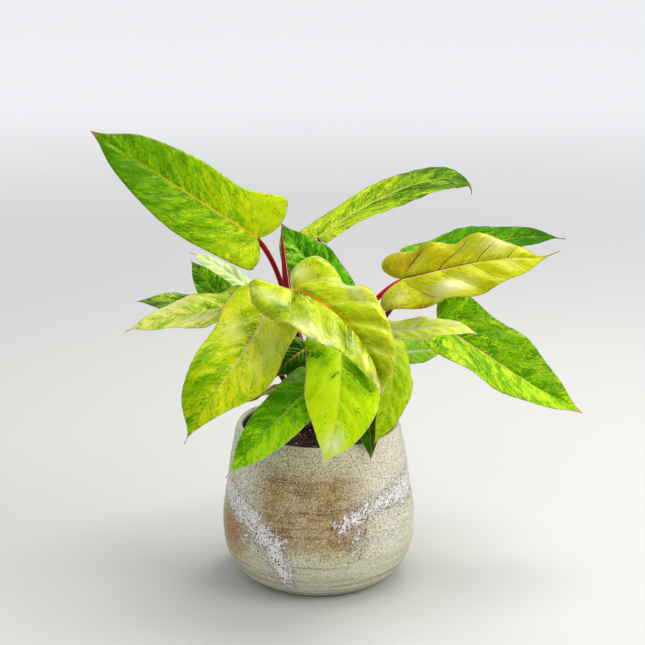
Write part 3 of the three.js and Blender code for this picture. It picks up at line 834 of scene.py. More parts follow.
def makeSheath():
    start, away, outward = leaveStem(sheath["height"], sheath["turn"], petiole["spread"], sheath["radii"][0])
    tip = np.array(sheath["tip"], float)
    knots = [start, start + away * sheath["bend"], tip - np.array(sheath["lean"]) * sheath["bend"], tip]
    u = np.linspace(0, 1, sheath["steps"])
    path, way = bezier(knots, u)
    path[0] -= outward * 3
    radii = np.interp(u, np.linspace(0, 1, len(sheath["radii"])), sheath["radii"])

    def rolled(angles):
        # The edge laps over: the radius grows round the tube and steps back at the seam.
        return 1 - sheath["lap"] + sheath["lap"] * np.mod(angles / (2 * math.pi) + sheath["seamTurn"], 1)

    points = sweep(path, way, radii, sheath["sides"], (-0.2, -1, 0), rolled)
    share = np.mod(np.linspace(0, 1, sheath["sides"], endpoint=False) + sheath["seamTurn"], 1)
    share, lengths = np.tile(share, len(path)), np.repeat(u, sheath["sides"])
    makePiece("newest_sheath", points, loftFaces(len(path), sheath["sides"]), makeSheathMaterial(),
              "new_leaf_sheath",
              {"sheathPlace": np.stack([lengths, share, np.zeros(len(share))], axis=-1)})


# Leaves

blade = {
    "thickness": 0.55, "ribs": 110, "steps": 28, "fan": 3.36, "knots": 9, "rimPoints": 260,
    "ribTop": 0.3, "ribBelow": 1.35, "veinBelow": 0.45, "veinLean": 0.8, "veinBend": 0.45,
    "edgeRipple": 0.5, "shade": 0.84, "under": "a9bd62",
}


def half(wide, back, **more):
    # Half of an outline: its width, how far its lobe reaches back, and widths along it as shares of wide.
    usual = {"notch": 0.17, "lobe": 1.0, "near": 0.97, "mid": 0.94, "far": 0.56}
    return {"wide": wide, "back": back, **usual, "fold": (15, 5), "curl": (-15, -5), **more}


def dent(at, reach, share):
    return {"at": at, "reach": reach, "share": share}


# Side is 1 for the left half and -1 for the right one. Places are along the midrib and across from it.
def bump(side, at, reach, lift):
    return {"side": side, "at": at, "reach": reach, "lift": lift}


# A pale or dark patch on one half: some are the leaf's own variegation, others painted highlights and painted
# shade.
def zone(kind, side, at, reach, share):
    return {"kind": kind, "side": side, "at": at, "reach": reach, "share": share}


# Waves and their height along the edge, the drip tip's width, the quilting between the side veins and the
# width of its creases, the number of side veins, and the petiole's hues from the blade to the foot.
plainLeaf = {
    "wave": 2, "waves": 2.2, "drip": 0.26, "quilt": 1.1, "crease": 0.24, "veins": 6.5, "tipLift": 0,
    "zones": (), "bumps": (), "stalk": ("960c18", "3c0a0e"),
}
# The skin: base, mottled with cream, green and dark. The shares say how much of the blade each of the three
# takes, tipLean and sideLean move the greens to the tip and to the left half; on some leaves the side lean
# paints shade on one half. Zones add pale and dark: the leaf's own patches, and painted highlights and
# painted shade.
plainLook = {
    "base": "bfd21c", "cream": "e8ea80", "green": "84b812", "dark": "4f8f0a", "rib": "dcb44a",
    "margin": "c08a4c", "tip": "a8563a", "vein": "c8cf4a", "sheen": "fff040", "pale": "e6ebb0",
    "shares": (0.2, 0.5, 0.25), "tipLean": 0.0, "sideLean": 0.0, "patch": 14.0, "streak": 2.2,
    "soft": 0.2, "gain": 4.6, "veins": 0.22, "marginWidth": 0.75, "ribWidth": 1.25, "gloss": 0.36,
    "veinWidth": 0.9, "shine": 0.26, "backVeins": 1.0, "ribFade": 0.45,
}
# Seed, lean, patch and streak of each layer of mottling, beside the leaf's own.
layers = {"cream": (11.0, -0.5, 1.2, 1.3), "green": (0.0, 1.0, 1.0, 1.0), "dark": (5.0, 1.0, 1.2, 0.85)}
leaves = {
    "top_left": {
        "midrib": ((-49, -8, 292), (-89, -20, 321), (-134, -22, 351), (-181, -8, 379)),
        "face": ((-0.1, -0.8, 0.5), (0.1, -0.8, 0.6)), "slot": "leaf_lime",
        "left": half(33, 9, lobe=0.87, near=1, mid=0.99, far=0.56),
        "right": half(40, 12, near=0.7, mid=0.72, far=0.5),
        "petiole": {"height": 184, "turn": 168, "spread": 0.6, "arrive": (-0.6, -0.15, 0.8)}, "wave": 1.5,
        "stalk": ("8a0c16", "2a0808"),
        "zones": (zone("dark", -1, (108, 16), (38, 13), 0.55), zone("dark", 1, (122, 10), (34, 13), 0.45),
                  zone("pale", -1, (2, 20), (24, 15), 0.4), zone("pale", 1, (10, 24), (22, 10), 0.35)),
        "look": {"base": "a0c408", "green": "6aa604", "dark": "3c7a02", "cream": "c2d412",
                 "rib": "dcb024", "margin": "b0703c", "pale": "ccdc10", "shares": (0.28, 0.6, 0.3),
                 "tipLean": 0.7, "streak": 2.3, "patch": 7.0, "gloss": 0.42, "gain": 4.8, "ribWidth": 1.3,
                 "soft": 0.26, "veins": 0.14, "ribFade": 0.25, "sideLean": 0.1},
    },
    "upper_right": {
        "midrib": ((0, 84, 273), (46, 108, 299), (102, 132, 316), (142, 143, 304)),
        "face": ((-0.25, -0.2, 0.95), (0.5, -0.2, 0.9)), "slot": "leaf_lime",
        "left": half(24, 8, near=0.9, mid=0.92, far=0.85),
        "right": half(27, 4, lobe=0.8, near=0.85, mid=1, far=0.75),
        "petiole": {"height": 178, "turn": 88, "spread": 0.8, "arrive": (0, 0.3, 1)}, "wave": 1,
        "tipLift": -5,
        "look": {"base": "a2bc10", "green": "60900a", "dark": "345a04", "cream": "ccd832",
                 "rib": "d0cf7a", "margin": "b0703c", "shares": (0.3, 0.52, 0.32), "streak": 2.6,
                 "soft": 0.2, "gloss": 0.6, "shine": 0.08, "tipLean": 0.8},
    },
    "center_back": {
        "midrib": ((12, 41, 230), (-2, 54, 251), (-17, 63, 267), (-32, 68, 290)),
        "face": ((-0.1, -0.8, 0.5), (0, -0.7, 0.7)), "slot": "leaf_green",
        "left": half(26, 18), "right": half(22, 12),
        "petiole": {"height": 164, "turn": 74},
        "look": {"base": "68b80c", "green": "44a40a", "dark": "226a06", "cream": "a4d830",
                 "rib": "a4cf5c", "margin": "6a5a2c", "shares": (0.2, 0.6, 0.42), "streak": 2.8,
                 "soft": 0.16},
    },
    "center_front": {
        "midrib": ((-20, -45, 258), (12, -76, 248), (36, -102, 226), (48, -116, 193)),
        "face": ((0, -0.65, 0.75), (0.5, -0.75, 0.3)), "slot": "leaf_gold",
        "left": half(35, 14, near=0.9, mid=0.8, far=0.54, fold=(15, 34),
                     dents=(dent(29, 8, 0.16), dent(47, 8, -0.08))),
        "right": half(34, 32, notch=0.1, near=1.18, mid=1.27, far=0.84, fold=(15, 42),
                      dents=(dent(-29, 9, 0.3),)),
        "petiole": {"height": 182, "turn": 262, "arrive": (-0.5, -0.45, 0.75)}, "veins": 4.5,
        "quilt": 3.4, "crease": 0.15,
        "bumps": (bump(1, (26, 33), (15, 14), -7), bump(1, (50, 31), (16, 14), 3),
                  bump(-1, (-26, 14), (17, 14), 9)),
        # Painted light: the pale zones are painted highlights and the dark zones painted shade.
        "zones": (zone("pale", -1, (54, 37), (15, 9), 0.85), zone("pale", -1, (-4, 20), (15, 4), 0.7),
                  zone("pale", -1, (74, 34), (5, 9), 0.6), zone("pale", -1, (93, 13), (12, 4), 0.6),
                  zone("pale", -1, (117, 4), (9, 6), 1.0), zone("pale", 1, (-2, 14), (9, 6), 0.7),
                  zone("pale", 1, (39, 23), (14, 4), 0.8), zone("dark", -1, (-29, 15), (12, 10), 0.2),
                  zone("dark", -1, (12, 28), (10, 8), 0.6), zone("dark", 1, (12, 18), (10, 6), 0.4),
                  zone("dark", 1, (96, 6), (22, 12), 0.65)),
        "look": {"base": "bccf08", "green": "92ae04", "dark": "46660a", "cream": "dfe43c",
                 "rib": "eda62c", "margin": "f4e4a8", "tip": "d8b08a", "sheen": "fff060",
                 "pale": "e4e4a8", "shares": (0.26, 0.44, 0.12), "patch": 18.0, "streak": 3.0,
                 "gloss": 0.2, "veins": 0.4, "ribWidth": 2.0, "shine": 0.42, "sideLean": -0.06,
                 "gain": 4.0, "soft": 0.22},
    },
    "front_left": {
        "midrib": ((-41, -32, 238), (-57, -64, 214), (-79, -92, 188), (-104, -100, 148)),
        "face": ((-0.2, -0.8, 0.5), (-0.2, -0.9, 0.25)), "slot": "leaf_gold",
        "left": half(32, 8, mid=1.04, far=0.38), "right": half(33, 22, far=0.66),
        "petiole": {"height": 172, "turn": 212}, "drip": 0.12, "quilt": 1.8,
        # Painted light: the pale zones on side 1 lift the half turned away from the lamps.
        "zones": (zone("pale", -1, (32, 17), (12, 9), 0.8), zone("pale", 1, (42, 19), (22, 10), 0.5),
                  zone("pale", 1, (26, 8), (8, 4), 0.4), zone("dark", -1, (70, 24), (14, 6), 0.7),
                  zone("dark", -1, (98, 16), (16, 12), 0.7), zone("dark", -1, (72, 7), (7, 4), 0.6)),
        "look": {"base": "c0d406", "green": "8cb804", "dark": "4c9002", "cream": "e2e430",
                 "rib": "e8c890", "margin": "f0dc90", "tip": "c99a60", "pale": "eaee7c",
                 "shares": (0.36, 0.36, 0.18), "tipLean": 0.3, "sideLean": -0.06, "patch": 13.0,
                 "streak": 2.4, "gloss": 0.38, "gain": 4.6, "soft": 0.17, "ribWidth": 1.5,
                 "ribFade": 0.1},
    },
    "left": {
        "midrib": ((-64, -8, 237), (-91, -14, 233), (-124, -18, 228), (-157, -20, 217)),
        "face": ((-0.1, -0.45, 0.9), (-0.1, -0.45, 0.9)), "slot": "leaf_cream",
        "left": half(21, 12), "right": half(20, 12, far=0.45),
        "petiole": {"height": 160, "turn": 190}, "drip": 0.14,
        "zones": (zone("pale", -1, (62, 14), (18, 6), 0.9), zone("pale", 1, (38, 10), (14, 6), 0.6)),
        "look": {"base": "d0de44", "green": "8cb818", "dark": "4c8408", "cream": "e4ea7c",
                 "margin": "d89c84", "pale": "ecdca8", "shares": (0.45, 0.42, 0.2), "tipLean": -0.5,
                 "streak": 3.0, "soft": 0.18},
    },
    "left_behind": {
        "midrib": ((-74, 40, 219), (-100, 44, 222), (-128, 46, 225), (-155, 46, 226)),
        "face": ((0, -0.3, 0.95), (0, -0.3, 0.95)), "slot": "leaf_green",
        "left": half(19, 12), "right": half(17, 12),
        "petiole": {"height": 148, "turn": 148},
        "look": {"base": "4c9210", "green": "2e7208", "dark": "1a4c06", "cream": "c0d038",
                 "margin": "7a4a2c", "shares": (0.3, 0.5, 0.4), "streak": 3.4, "soft": 0.16},
    },
    "left_upright": {
        "midrib": ((-61, 14, 218), (-79, 17, 233), (-94, 21, 250), (-106, 25, 266)),
        "face": ((-0.2, -0.7, 0.6), (-0.2, -0.8, 0.5)), "slot": "leaf_green",
        "left": half(17, 10, mid=0.8, far=0.45), "right": half(17, 10, mid=0.8, far=0.45),
        "petiole": {"height": 142, "turn": 178},
        "look": {"base": "78bc18", "green": "46980a", "dark": "2a6c06", "cream": "c4dc48",
                 "tip": "d0783c", "margin": "b0703c", "shares": (0.35, 0.5, 0.4), "streak": 3.2,
                 "soft": 0.16},
    },
    "left_pale": {
        "midrib": ((-54, 44, 234), (-73, 52, 246), (-91, 57, 257), (-110, 58, 266)),
        "face": ((0, -0.6, 0.8), (0, -0.6, 0.8)), "slot": "leaf_cream",
        "left": half(12, 6), "right": half(8, 3),
        "petiole": {"height": 170, "turn": 138}, "drip": 0.1,
        "look": {"base": "c8e094", "green": "b8d884", "dark": "a8cc70", "cream": "d8eab4",
                 "rib": "eef2c4", "margin": "dfe4b0", "tip": "c8cc9c", "shares": (0.35, 0.4, 0.05),
                 "soft": 0.4, "veins": 0.1},
    },
    "right_behind": {
        "midrib": ((80, 36, 262), (122, 50, 270), (167, 62, 277), (212, 66, 276)),
        "face": ((0, -0.28, 0.95), (0.2, -0.25, 0.95)), "slot": "leaf_green",
        "left": half(28, 6, lobe=0.72, near=0.93), "right": half(26, 9),
        "petiole": {"height": 176, "turn": 26, "spread": 0.85, "arrive": (0.35, 0.3, 0.85)},
        "stalk": ("6a2a26", "4a1c1a"), "drip": 0.12,
        "zones": (zone("dark", 1, (112, 8), (26, 15), 0.9), zone("dark", -1, (108, 8), (26, 14), 0.8)),
        "look": {"base": "5e9c06", "green": "3a7e04", "dark": "1c5402", "cream": "a0c41c",
                 "margin": "6a5a2c", "tip": "7a3c2c", "shares": (0.22, 0.58, 0.38), "tipLean": 0.3,
                 "shine": 0.06, "gloss": 0.75, "soft": 0.16},
    },
    "right_middle": {
        "midrib": ((67, -30, 263), (105, -46, 276), (144, -54, 285), (182, -50, 282)),
        "face": ((-0.1, -0.65, 0.75), (0.1, -0.6, 0.8)), "slot": "leaf_gold",
        "left": half(27, 20, far=0.42), "right": half(35, 16, far=0.5),
        "petiole": {"height": 184, "turn": -26, "arrive": (0.85, -0.2, 0.5)}, "wave": 3.2, "waves": 3,
        "stalk": ("cc1028", "8a1424"), "quilt": 2.2, "drip": 0.14, "tipLift": 14, "veins": 4.2,
        "crease": 0.17,
        "bumps": (bump(1, (43, 27), (9, 14), -3), bump(1, (74, 25), (12, 14), 3)),
        # Painted light: the pale zone at 42 along side -1 is a painted highlight.
        "zones": (zone("pale", -1, (42, 22), (12, 7), 0.95), zone("pale", -1, (4, 24), (4, 8), 0.5),
                  zone("pale", 1, (78, 14), (12, 8), 0.55), zone("dark", 1, (0, 14), (16, 12), 0.7),
                  zone("dark", 1, (34, 12), (16, 9), 0.5)),
        "look": {"base": "bec60c", "green": "a4ac04", "dark": "96700a", "cream": "d4d834",
                 "rib": "8c3014", "vein": "6a160c", "margin": "c47a3c", "tip": "b0503c",
                 "sheen": "fff060", "pale": "eceab0", "backRib": "f0dcb0", "shares": (0.22, 0.42, 0.14),
                 "veins": 1.0, "patch": 20.0, "streak": 5.0, "gloss": 0.3, "veinWidth": 0.9,
                 "shine": 0.22, "gain": 3.6, "soft": 0.26, "sideLean": 0.0, "backVeins": 0.35,
                 "ribWidth": 1.8},
    },
    "right_lower": {
        "midrib": ((101, 12, 213), (139, 6, 190), (176, 0, 167), (221, -4, 142)),
        "face": ((0.3, -0.8, 0.55), (0.3, -0.8, 0.55)), "slot": "leaf_lime",
        "left": half(35, 12), "right": half(32, 12, fold=(35, 25)),
        "petiole": {"height": 162, "turn": 8}, "wave": 3,
        "look": {"base": "a0cc0a", "green": "68a606", "dark": "387c02", "cream": "c0e020",
                 "rib": "e4c478", "margin": "c07c50", "tip": "c8705a", "shares": (0.24, 0.54, 0.28),
                 "sideLean": 0.12, "streak": 3.0, "soft": 0.16},
    },
    "right_narrow": {
        "midrib": ((53, -36, 222), (78, -42, 225), (103, -44, 227), (127, -42, 221)),
        "face": ((0, -0.7, 0.7), (0, -0.7, 0.7)), "slot": "leaf_cream",
        "left": half(10, 6), "right": half(10, 6),
        "petiole": {"height": 172, "turn": -50, "spread": 0.3},
        "look": {"base": "ecf850", "green": "c0e444", "dark": "98c820", "cream": "f0f890",
                 "rib": "f0f2cc", "margin": "e8dcb0", "tip": "e0c8a0", "shares": (0.45, 0.2, 0.05),
                 "shine": 0.2},
    },
    "right_small": {
        "midrib": ((52, 32, 187), (72, 42, 182), (91, 50, 181), (110, 56, 180)),
        "face": ((0, -0.7, 0.7), (0, -0.7, 0.7)), "slot": "leaf_green",
        "left": half(14, 9), "right": half(14, 9),
        "petiole": {"height": 144, "turn": 34},
        "look": {"base": "c8fc48", "green": "a0ec28", "dark": "70cc10", "cream": "c4e07c",
                 "rib": "fafff0", "shares": (0.2, 0.5, 0.25), "ribWidth": 2.6},
    },
    "front_right": {
        "midrib": ((52, -14, 206), (59, -44, 190), (55, -62, 166), (44, -68, 137)),
        "face": ((0.4, -0.7, 0.4), (0.3, -0.9, 0.2)), "slot": "leaf_lime",
        "left": half(18, 10, far=0.6), "right": half(13, 4),
        "petiole": {"height": 154, "turn": -14},
        "look": {"base": "b8d80a", "green": "94c208", "dark": "68a206", "cream": "d8e63c",
                 "shares": (0.25, 0.45, 0.15)},
    },
    "front_hidden": {
        "midrib": ((32, -26, 188), (37, -48, 169), (41, -60, 146), (42, -64, 122)),
        "face": ((0.2, -0.9, 0.3), (0.1, -0.95, 0.2)), "slot": "leaf_green",
        "left": half(14, 8, far=0.4), "right": half(14, 8, far=0.5),
        "petiole": {"height": 144, "turn": -38},
        "look": {"base": "3a8a10", "green": "2a720c", "dark": "184c08", "cream": "8cc030",
                 "tip": "b0644c", "shares": (0.12, 0.55, 0.5)},
    },
    "front_middle": {
        "midrib": ((18, -50, 214), (17, -76, 189), (13, -94, 162), (3, -97, 129)),
        "face": ((0, -0.8, 0.5), (0.1, -0.95, 0.25)), "slot": "leaf_lime",
        "left": half(31, 20, mid=1), "right": half(28, 20, far=0.45),
        "petiole": {"height": 160, "turn": -68}, "drip": 0.15,
        "zones": (zone("pale", 1, (84, 4), (9, 5), 0.9), zone("pale", -1, (86, 2), (9, 4), 0.6),
                  zone("dark", -1, (8, 18), (12, 12), 0.6), zone("dark", 1, (18, 18), (20, 14), 1.3)),
        "look": {"base": "ccf20a", "green": "a4dc08", "dark": "3e8206", "cream": "d4f020",
                 "rib": "d4e048", "margin": "f0f0a0", "tip": "e0b890", "pale": "eef2b0",
                 "shares": (0.3, 0.36, 0.12), "tipLean": -0.5, "sideLean": 0.06, "shine": 0.2},
    },
    "front_lower_left": {
        "midrib": ((-2, -56, 185), (-21, -78, 172), (-45, -93, 151), (-73, -97, 119)),
        "face": ((-0.1, -0.75, 0.6), (-0.2, -0.85, 0.4)), "slot": "leaf_green",
        "left": half(21, 10), "right": half(20, 8),
        "petiole": {"height": 142, "turn": -92}, "drip": 0.12,
        "look": {"base": "a0e40c", "green": "64b00a", "dark": "388c06", "cream": "b8e424",
                 "rib": "9ccc48", "margin": "d8d890", "tip": "5c3c2c", "shares": (0.25, 0.52, 0.34),
                 "sideLean": -0.14},
    },
    "front_dark": {
        "midrib": ((-11, -28, 204), (-19, -33, 200), (-27, -37, 194), (-35, -40, 184)),
        "face": ((0, -0.7, 0.7), (-0.1, -0.9, 0.3)), "slot": "leaf_green",
        "left": half(13, 6), "right": half(13, 6),
        "petiole": {"height": 152, "turn": -112},
        "look": {"base": "34820c", "green": "286c08", "dark": "184c06", "cream": "7cb830",
                 "shares": (0.08, 0.5, 0.4)},
    },
    "rim_left": {
        "midrib": ((-29, 26, 158), (-39, 33, 151), (-52, 37, 144), (-65, 39, 137)),
        "face": ((-0.2, -0.5, 0.8), (-0.2, -0.5, 0.8)), "slot": "leaf_green",
        "left": half(4, 3), "right": half(4, 3),
        "petiole": {"height": 136, "turn": 128},
        "look": {"base": "8c9a50", "green": "6a7c34", "dark": "4c4426", "cream": "bcc088",
                 "shares": (0.2, 0.5, 0.4)},
    },
}


def frameAt(leaf, u):
    # Place on the midrib, the way along it, the blade's normal and the way across.
    u = np.clip(u, 0, 1)
    place, along = bezier(leaf["curve"], u)
    first, last = (np.asarray(face, float) for face in leaf["face"])
    normal = first * (1 - u[..., None]) + last * u[..., None]
    normal = unit(normal - along * (normal * along).sum(-1, keepdims=True))
    return place, along, normal, np.cross(normal, along)


def edgeLine(leaf, side, places):
    # The outline of one half in the flat blade, from the notch round the lobe to the tip.
    wide, back, length = side["wide"], side["back"], leaf["length"]
    knots = [
        (0, 0), (-0.5 * back, side["notch"] * wide), (-0.9 * back, (0.28 + side["notch"]) * wide),
        (-0.85 * back, 0.76 * side["lobe"] * wide), (-0.15 * back, side["lobe"] * wide),
        (0.22 * length, side["near"] * wide), (0.5 * length, side["mid"] * wide),
        (0.78 * length, side["far"] * wide), (0.93 * length, leaf["drip"] * side["far"] * wide), (length, 0),
    ]
    line = smoothLine(knots, places)
    for nick in side.get("dents", ()):
        line[:, 1] *= 1 - nick["share"] * np.exp(-((line[:, 0] - nick["at"]) / nick["reach"]) ** 2)
    return line


def bell(spot, a, b):
    # 1 in the middle of a bump or zone, fading to 0 round it.
    far = ((a - spot["at"][0]) / spot["reach"][0]) ** 2 + ((b - spot["at"][1]) / spot["reach"][1]) ** 2
    return np.exp(-far)


def zoneField(leaf, kind, sign, a, b):
    # How far each place lies in the leaf's zones of one kind: the leaf's own patches, and painted highlights
    # and painted shade.
    total = np.zeros(a.shape)
    for spot in leaf["zones"]:
        if spot["kind"] == kind and spot["side"] == sign:
            total = total + spot["share"] * bell(spot, a, b)
    return total


def veinField(leaf, side, a, b):
    # Place across the veins, place along them, and the gap to the nearest side vein.
    wide, length = side["wide"], leaf["length"]
    lean, bend = blade["veinLean"], blade["veinBend"] / wide
    first = a - lean * b - bend * b * b
    reach = np.hypot(a, b)
    turn = np.arctan2(b, a)
    edgeTurn = np.arctan2(1.0, lean + bend * np.minimum(reach, wide) * 0.85)
    phi = np.maximum(turn - edgeTurn, 0)
    ahead = first >= 0  # behind it, in the lobe, the veins fan out from the notch
    across = np.where(ahead, first, -phi * 0.45 * wide)
    along = np.where(ahead, np.hypot(b, lean * b + bend * b * b), reach)
    slant = 1 / np.sqrt(1 + (lean + 2 * bend * b) ** 2)
    across = across + 0.1 * leaf["veinSpace"] * np.sin(across / length * 9 + leaf["seed"] + wide)
    gap = np.abs(np.mod(across / leaf["veinSpace"] + 0.5, 1) - 0.5) * leaf["veinSpace"]
    return across, along, gap * np.where(ahead, slant, 1.0)


def halfGrid(leaf, side):
    # Flat places in a grid from the midrib to the edge, closer together at the midrib.
    places = np.linspace(0, blade["knots"], blade["ribs"] + 1)
    steps = np.linspace(0, 1, blade["steps"] + 1)
    steps = steps * (0.4 + 0.6 * steps)
    edge = edgeLine(leaf, side, places)
    late = np.clip((places - blade["fan"]) / (blade["knots"] - blade["fan"]), 0, 1) ** 1.05
    start = leaf["length"] * late
    a = start[:, None] + (edge[:, 0] - start)[:, None] * steps
    b = edge[:, 1][:, None] * steps
    rim = edgeLine(leaf, side, np.linspace(0, blade["knots"], blade["rimPoints"]))
    rimGap = np.min(np.hypot(a[..., None] - rim[:, 0], b[..., None] - rim[:, 1]), axis=-1)
    return a, b, rimGap


def halfBlade(leaf, side, sign):
    # One half, bent: its flat places, its points, and a value at each point for each of bladeFields.
    a, b, rimGap = halfGrid(leaf, side)
    u = a / leaf["length"]
    place, along, normal, across = frameAt(leaf, u)
    late = np.clip(u, 0, 1)
    out = b / side["wide"]
    fold, curl = (side[turn][0] + (side[turn][1] - side[turn][0]) * late for turn in ("fold", "curl"))
    angle = np.radians(fold + curl * out * 0.5)
    turns = leaf["waves"] * u + leaf["phase"] + (0.5 if sign < 0 else 0)
    lift = b * np.sin(angle) + leaf["wave"] * out ** 2 * np.sin(2 * math.pi * turns)
    veinAcross, veinAlong, gap = veinField(leaf, side, a, b)
    inside = np.clip(rimGap / 5, 0, 1) * np.clip(b / 3, 0, 1)
    lift = lift + leaf["quilt"] * inside * (1 - np.exp(-(gap / (leaf["crease"] * leaf["veinSpace"])) ** 2))
    lift = lift + blade["edgeRipple"] * out ** 4 * np.sin(veinAcross * 0.42 + leaf["seed"] * 1.7)
    for spot in leaf["bumps"]:
        if spot["side"] == sign:
            lift = lift + spot["lift"] * bell(spot, a, b)
    lift = lift + leaf["tipLift"] * np.clip((u - 0.88) / 0.12, 0, 1) ** 2
    points = place + along * np.minimum(a, 0)[..., None] + across * (sign * b * np.cos(angle))[..., None]
    points = points + normal * lift[..., None]
    front = np.clip(u * 40 + 0.5, 0, 1)
    slim = blade["ribBelow"] * (1 - 0.8 * late) + 0.1
    top = blade["ribTop"] * (1 - 0.6 * late) * np.exp(-(b / (0.75 * slim)) ** 2) * front
    below = np.sqrt(np.maximum(slim ** 2 - b ** 2, 0)) * front
    below = below + blade["veinBelow"] * np.exp(-(gap / 0.9) ** 2) * np.clip(rimGap / 12, 0, 1)
    # Pale and dark zones: the leaf's own patches, and painted highlights and painted shade.
    pale, dark = (zoneField(leaf, kind, sign, a, b) for kind in ("pale", "dark"))
    fields = [veinAcross, veinAlong, u, b, rimGap, np.full(a.shape, float(sign)), pale, dark, top, below]
    return np.stack([a, sign * b], axis=-1), points, np.stack(fields, axis=-1)


def joinHalves(leaf):
    # Both halves as one sheet, welded where their flat places meet.
    flats, points, fields, faces = [], [], [], []
    rows, columns = blade["ribs"] + 1, blade["steps"] + 1
    number = np.arange(rows * columns).reshape(rows, columns)
    quads = np.stack([number[:-1, :-1], number[1:, :-1], number[1:, 1:], number[:-1, 1:]], axis=-1)
    quads = quads.reshape(-1, 4)
    for label, sign in (("left", 1), ("right", -1)):
        flat, place, field = halfBlade(leaf, leaf[label], sign)
        faces.append((quads if sign > 0 else quads[:, ::-1]) + len(flats) * rows * columns)
        flats.append(flat.reshape(-1, 2))
        points.append(place.reshape(-1, 3))
        fields.append(field.reshape(-1, field.shape[-1]))
    flats, points, fields, faces = (np.vstack(part) for part in (flats, points, fields, faces))
    _, keep, merged = np.unique(np.round(flats, 3), axis=0, return_index=True, return_inverse=True)
    welded = []
    for face in merged.reshape(-1)[faces].tolist():
        corners = [corner for i, corner in enumerate(face) if corner != face[i - 1]]
        if len(corners) > 2:
            welded.append(corners)
    return points[keep], fields[keep], welded


def sheetNormals(points, faces):
    triangles = np.array([(f[0], f[i], f[i + 1]) for f in faces for i in range(1, len(f) - 1)])
    first, second, third = (points[triangles[:, corner]] for corner in range(3))
    turned = np.cross(second - first, third - first)
    normals = np.zeros_like(points)
    for corner in range(3):
        np.add.at(normals, triangles[:, corner], turned)
    return unit(normals)


def makeBlade(name, leaf):
    # The sheet is thickened along its normals and closed round its edge.
    points, fields, faces = joinHalves(leaf)
    across, along, reach, off, rim, side, pale, dark, top, below = fields.T
    normals = sheetNormals(points, faces)
    thin = blade["thickness"] / 2 * (0.2 + 0.8 * np.clip(rim / 3, 0, 1))
    upper = points + normals * (thin + top)[:, None]
    lower = points - normals * (thin + below)[:, None]
    count = len(points)
    edges = {(f[i - 1], f[i]) for f in faces for i in range(len(f))}
    whole = [*faces, *[[c + count for c in reversed(f)] for f in faces]]
    whole += [[b, a, a + count, b + count] for a, b in sorted(edges) if (b, a) not in edges]
    upperFace = np.repeat([1.0, 0.0], count)
    attributes = {
        "veinPlace": np.stack([np.tile(across, 2), np.tile(along, 2), upperFace], axis=-1),
        "leafPlace": np.tile(np.stack([reach, off, rim], axis=-1), (2, 1)),
        # The side, then the pale and dark zones, which hold painted highlights and painted shade beside the
        # leaf's own patches.
        "leafFace": np.tile(np.stack([side, pale, dark], axis=-1), (2, 1)),
    }
    piece = makePiece("blade_" + name, np.vstack([upper, lower]), whole, makeLeafMaterial(name, leaf),
                      "leaf_" + name, attributes)
    for polygon in piece.data.polygons[2 * len(faces):]:
        polygon.use_smooth = False  # a smooth rim would shade the blade dark along its edge


def makeLeafMaterial(name, leaf):
    look = {**plainLook, **leaf["look"]}
    material, tree, shader = startMaterial("skin_" + name)
    veinPlace, leafPlace = stored(tree, "veinPlace"), stored(tree, "leafPlace")
    _, _, top = split(tree, veinPlace)
    side, paleAndHighlight, darkAndShade = split(tree, stored(tree, "leafFace"))
    places = {"veinPlace": veinPlace, "leafPlace": leafPlace}
    hues = ("base", "cream", "green", "dark", "vein", "rib", "margin", "tip", "pale")
    skin = {part: paint(look[part], blade["shade"]) for part in hues}
    colour = skin["base"]
    for (hue, (seed, lean, patch, streak)), share in zip(layers.items(), look["shares"]):
        mottle = useGroup(tree, mottling, **places, side=side, seed=leaf["seed"] + seed, share=share,
                          patch=look["patch"] * patch, streak=look["streak"] * streak,
                          tipLean=look["tipLean"] * lean, sideLean=look["sideLean"] * lean,
                          soft=look["soft"], gain=look["gain"])["Mask"]
        colour = tint(tree, mottle, colour, skin[hue])
    cloud = stretch(tree, veinPlace, (0.09, 0.05, 1.0), (leaf["seed"], 0.0, 0.0))
    patchy = ease(tree, grain(tree, cloud, 1.0, 3.0, 0.6, 0.5), 0.3, 0.6, 0.45, 1.0)
    # Painted highlights and painted shade from the zones, with the leaf's own pale and dark patches.
    colour = tint(tree, times(tree, darkAndShade, patchy), colour, skin["dark"])
    colour = tint(tree, times(tree, paleAndHighlight, patchy), colour, skin["pale"])
    lines = useGroup(tree, leafLines, **places, veinSpace=leaf["veinSpace"], ribWidth=look["ribWidth"],
                     veinWidth=look["veinWidth"], marginWidth=look["marginWidth"], ribFade=look["ribFade"])
    drawn = ease(tree, side, -1.0, 1.0, look["veins"] * look["backVeins"], look["veins"])
    colour = tint(tree, times(tree, lines["Veins"], drawn), colour, skin["vein"])
    under = tint(tree, 0.42, colour, paint(blade["under"], blade["shade"]))
    colour = tint(tree, top, under, colour)
    backRib = paint(look.get("backRib", look["rib"]), blade["shade"])
    ribs = tint(tree, ease(tree, side, -1.0, 1.0), backRib, skin["rib"])
    colour = tint(tree, lines["Midrib"], colour, ribs)
    colour = tint(tree, times(tree, lines["Margin"], 0.85), colour, skin["margin"])
    colour = tint(tree, lines["Tip"], colour, skin["tip"])
    feed(tree, shader.inputs["Base Color"], colour)
    relief = useGroup(tree, leafRelief, veinPlace=veinPlace, veinSpace=leaf["veinSpace"])["Height"]
    gloss = ease(tree, relief, -0.5, 0.6, look["gloss"] + 0.05, look["gloss"] - 0.04)
    feed(tree, shader.inputs["Roughness"], timesPlus(tree, minus(tree, 1.0, top), 0.2, gloss))
    setShine(shader, look["shine"], look["sheen"])
    roughen(tree, shader, relief, 0.6, 0.3)
    return material


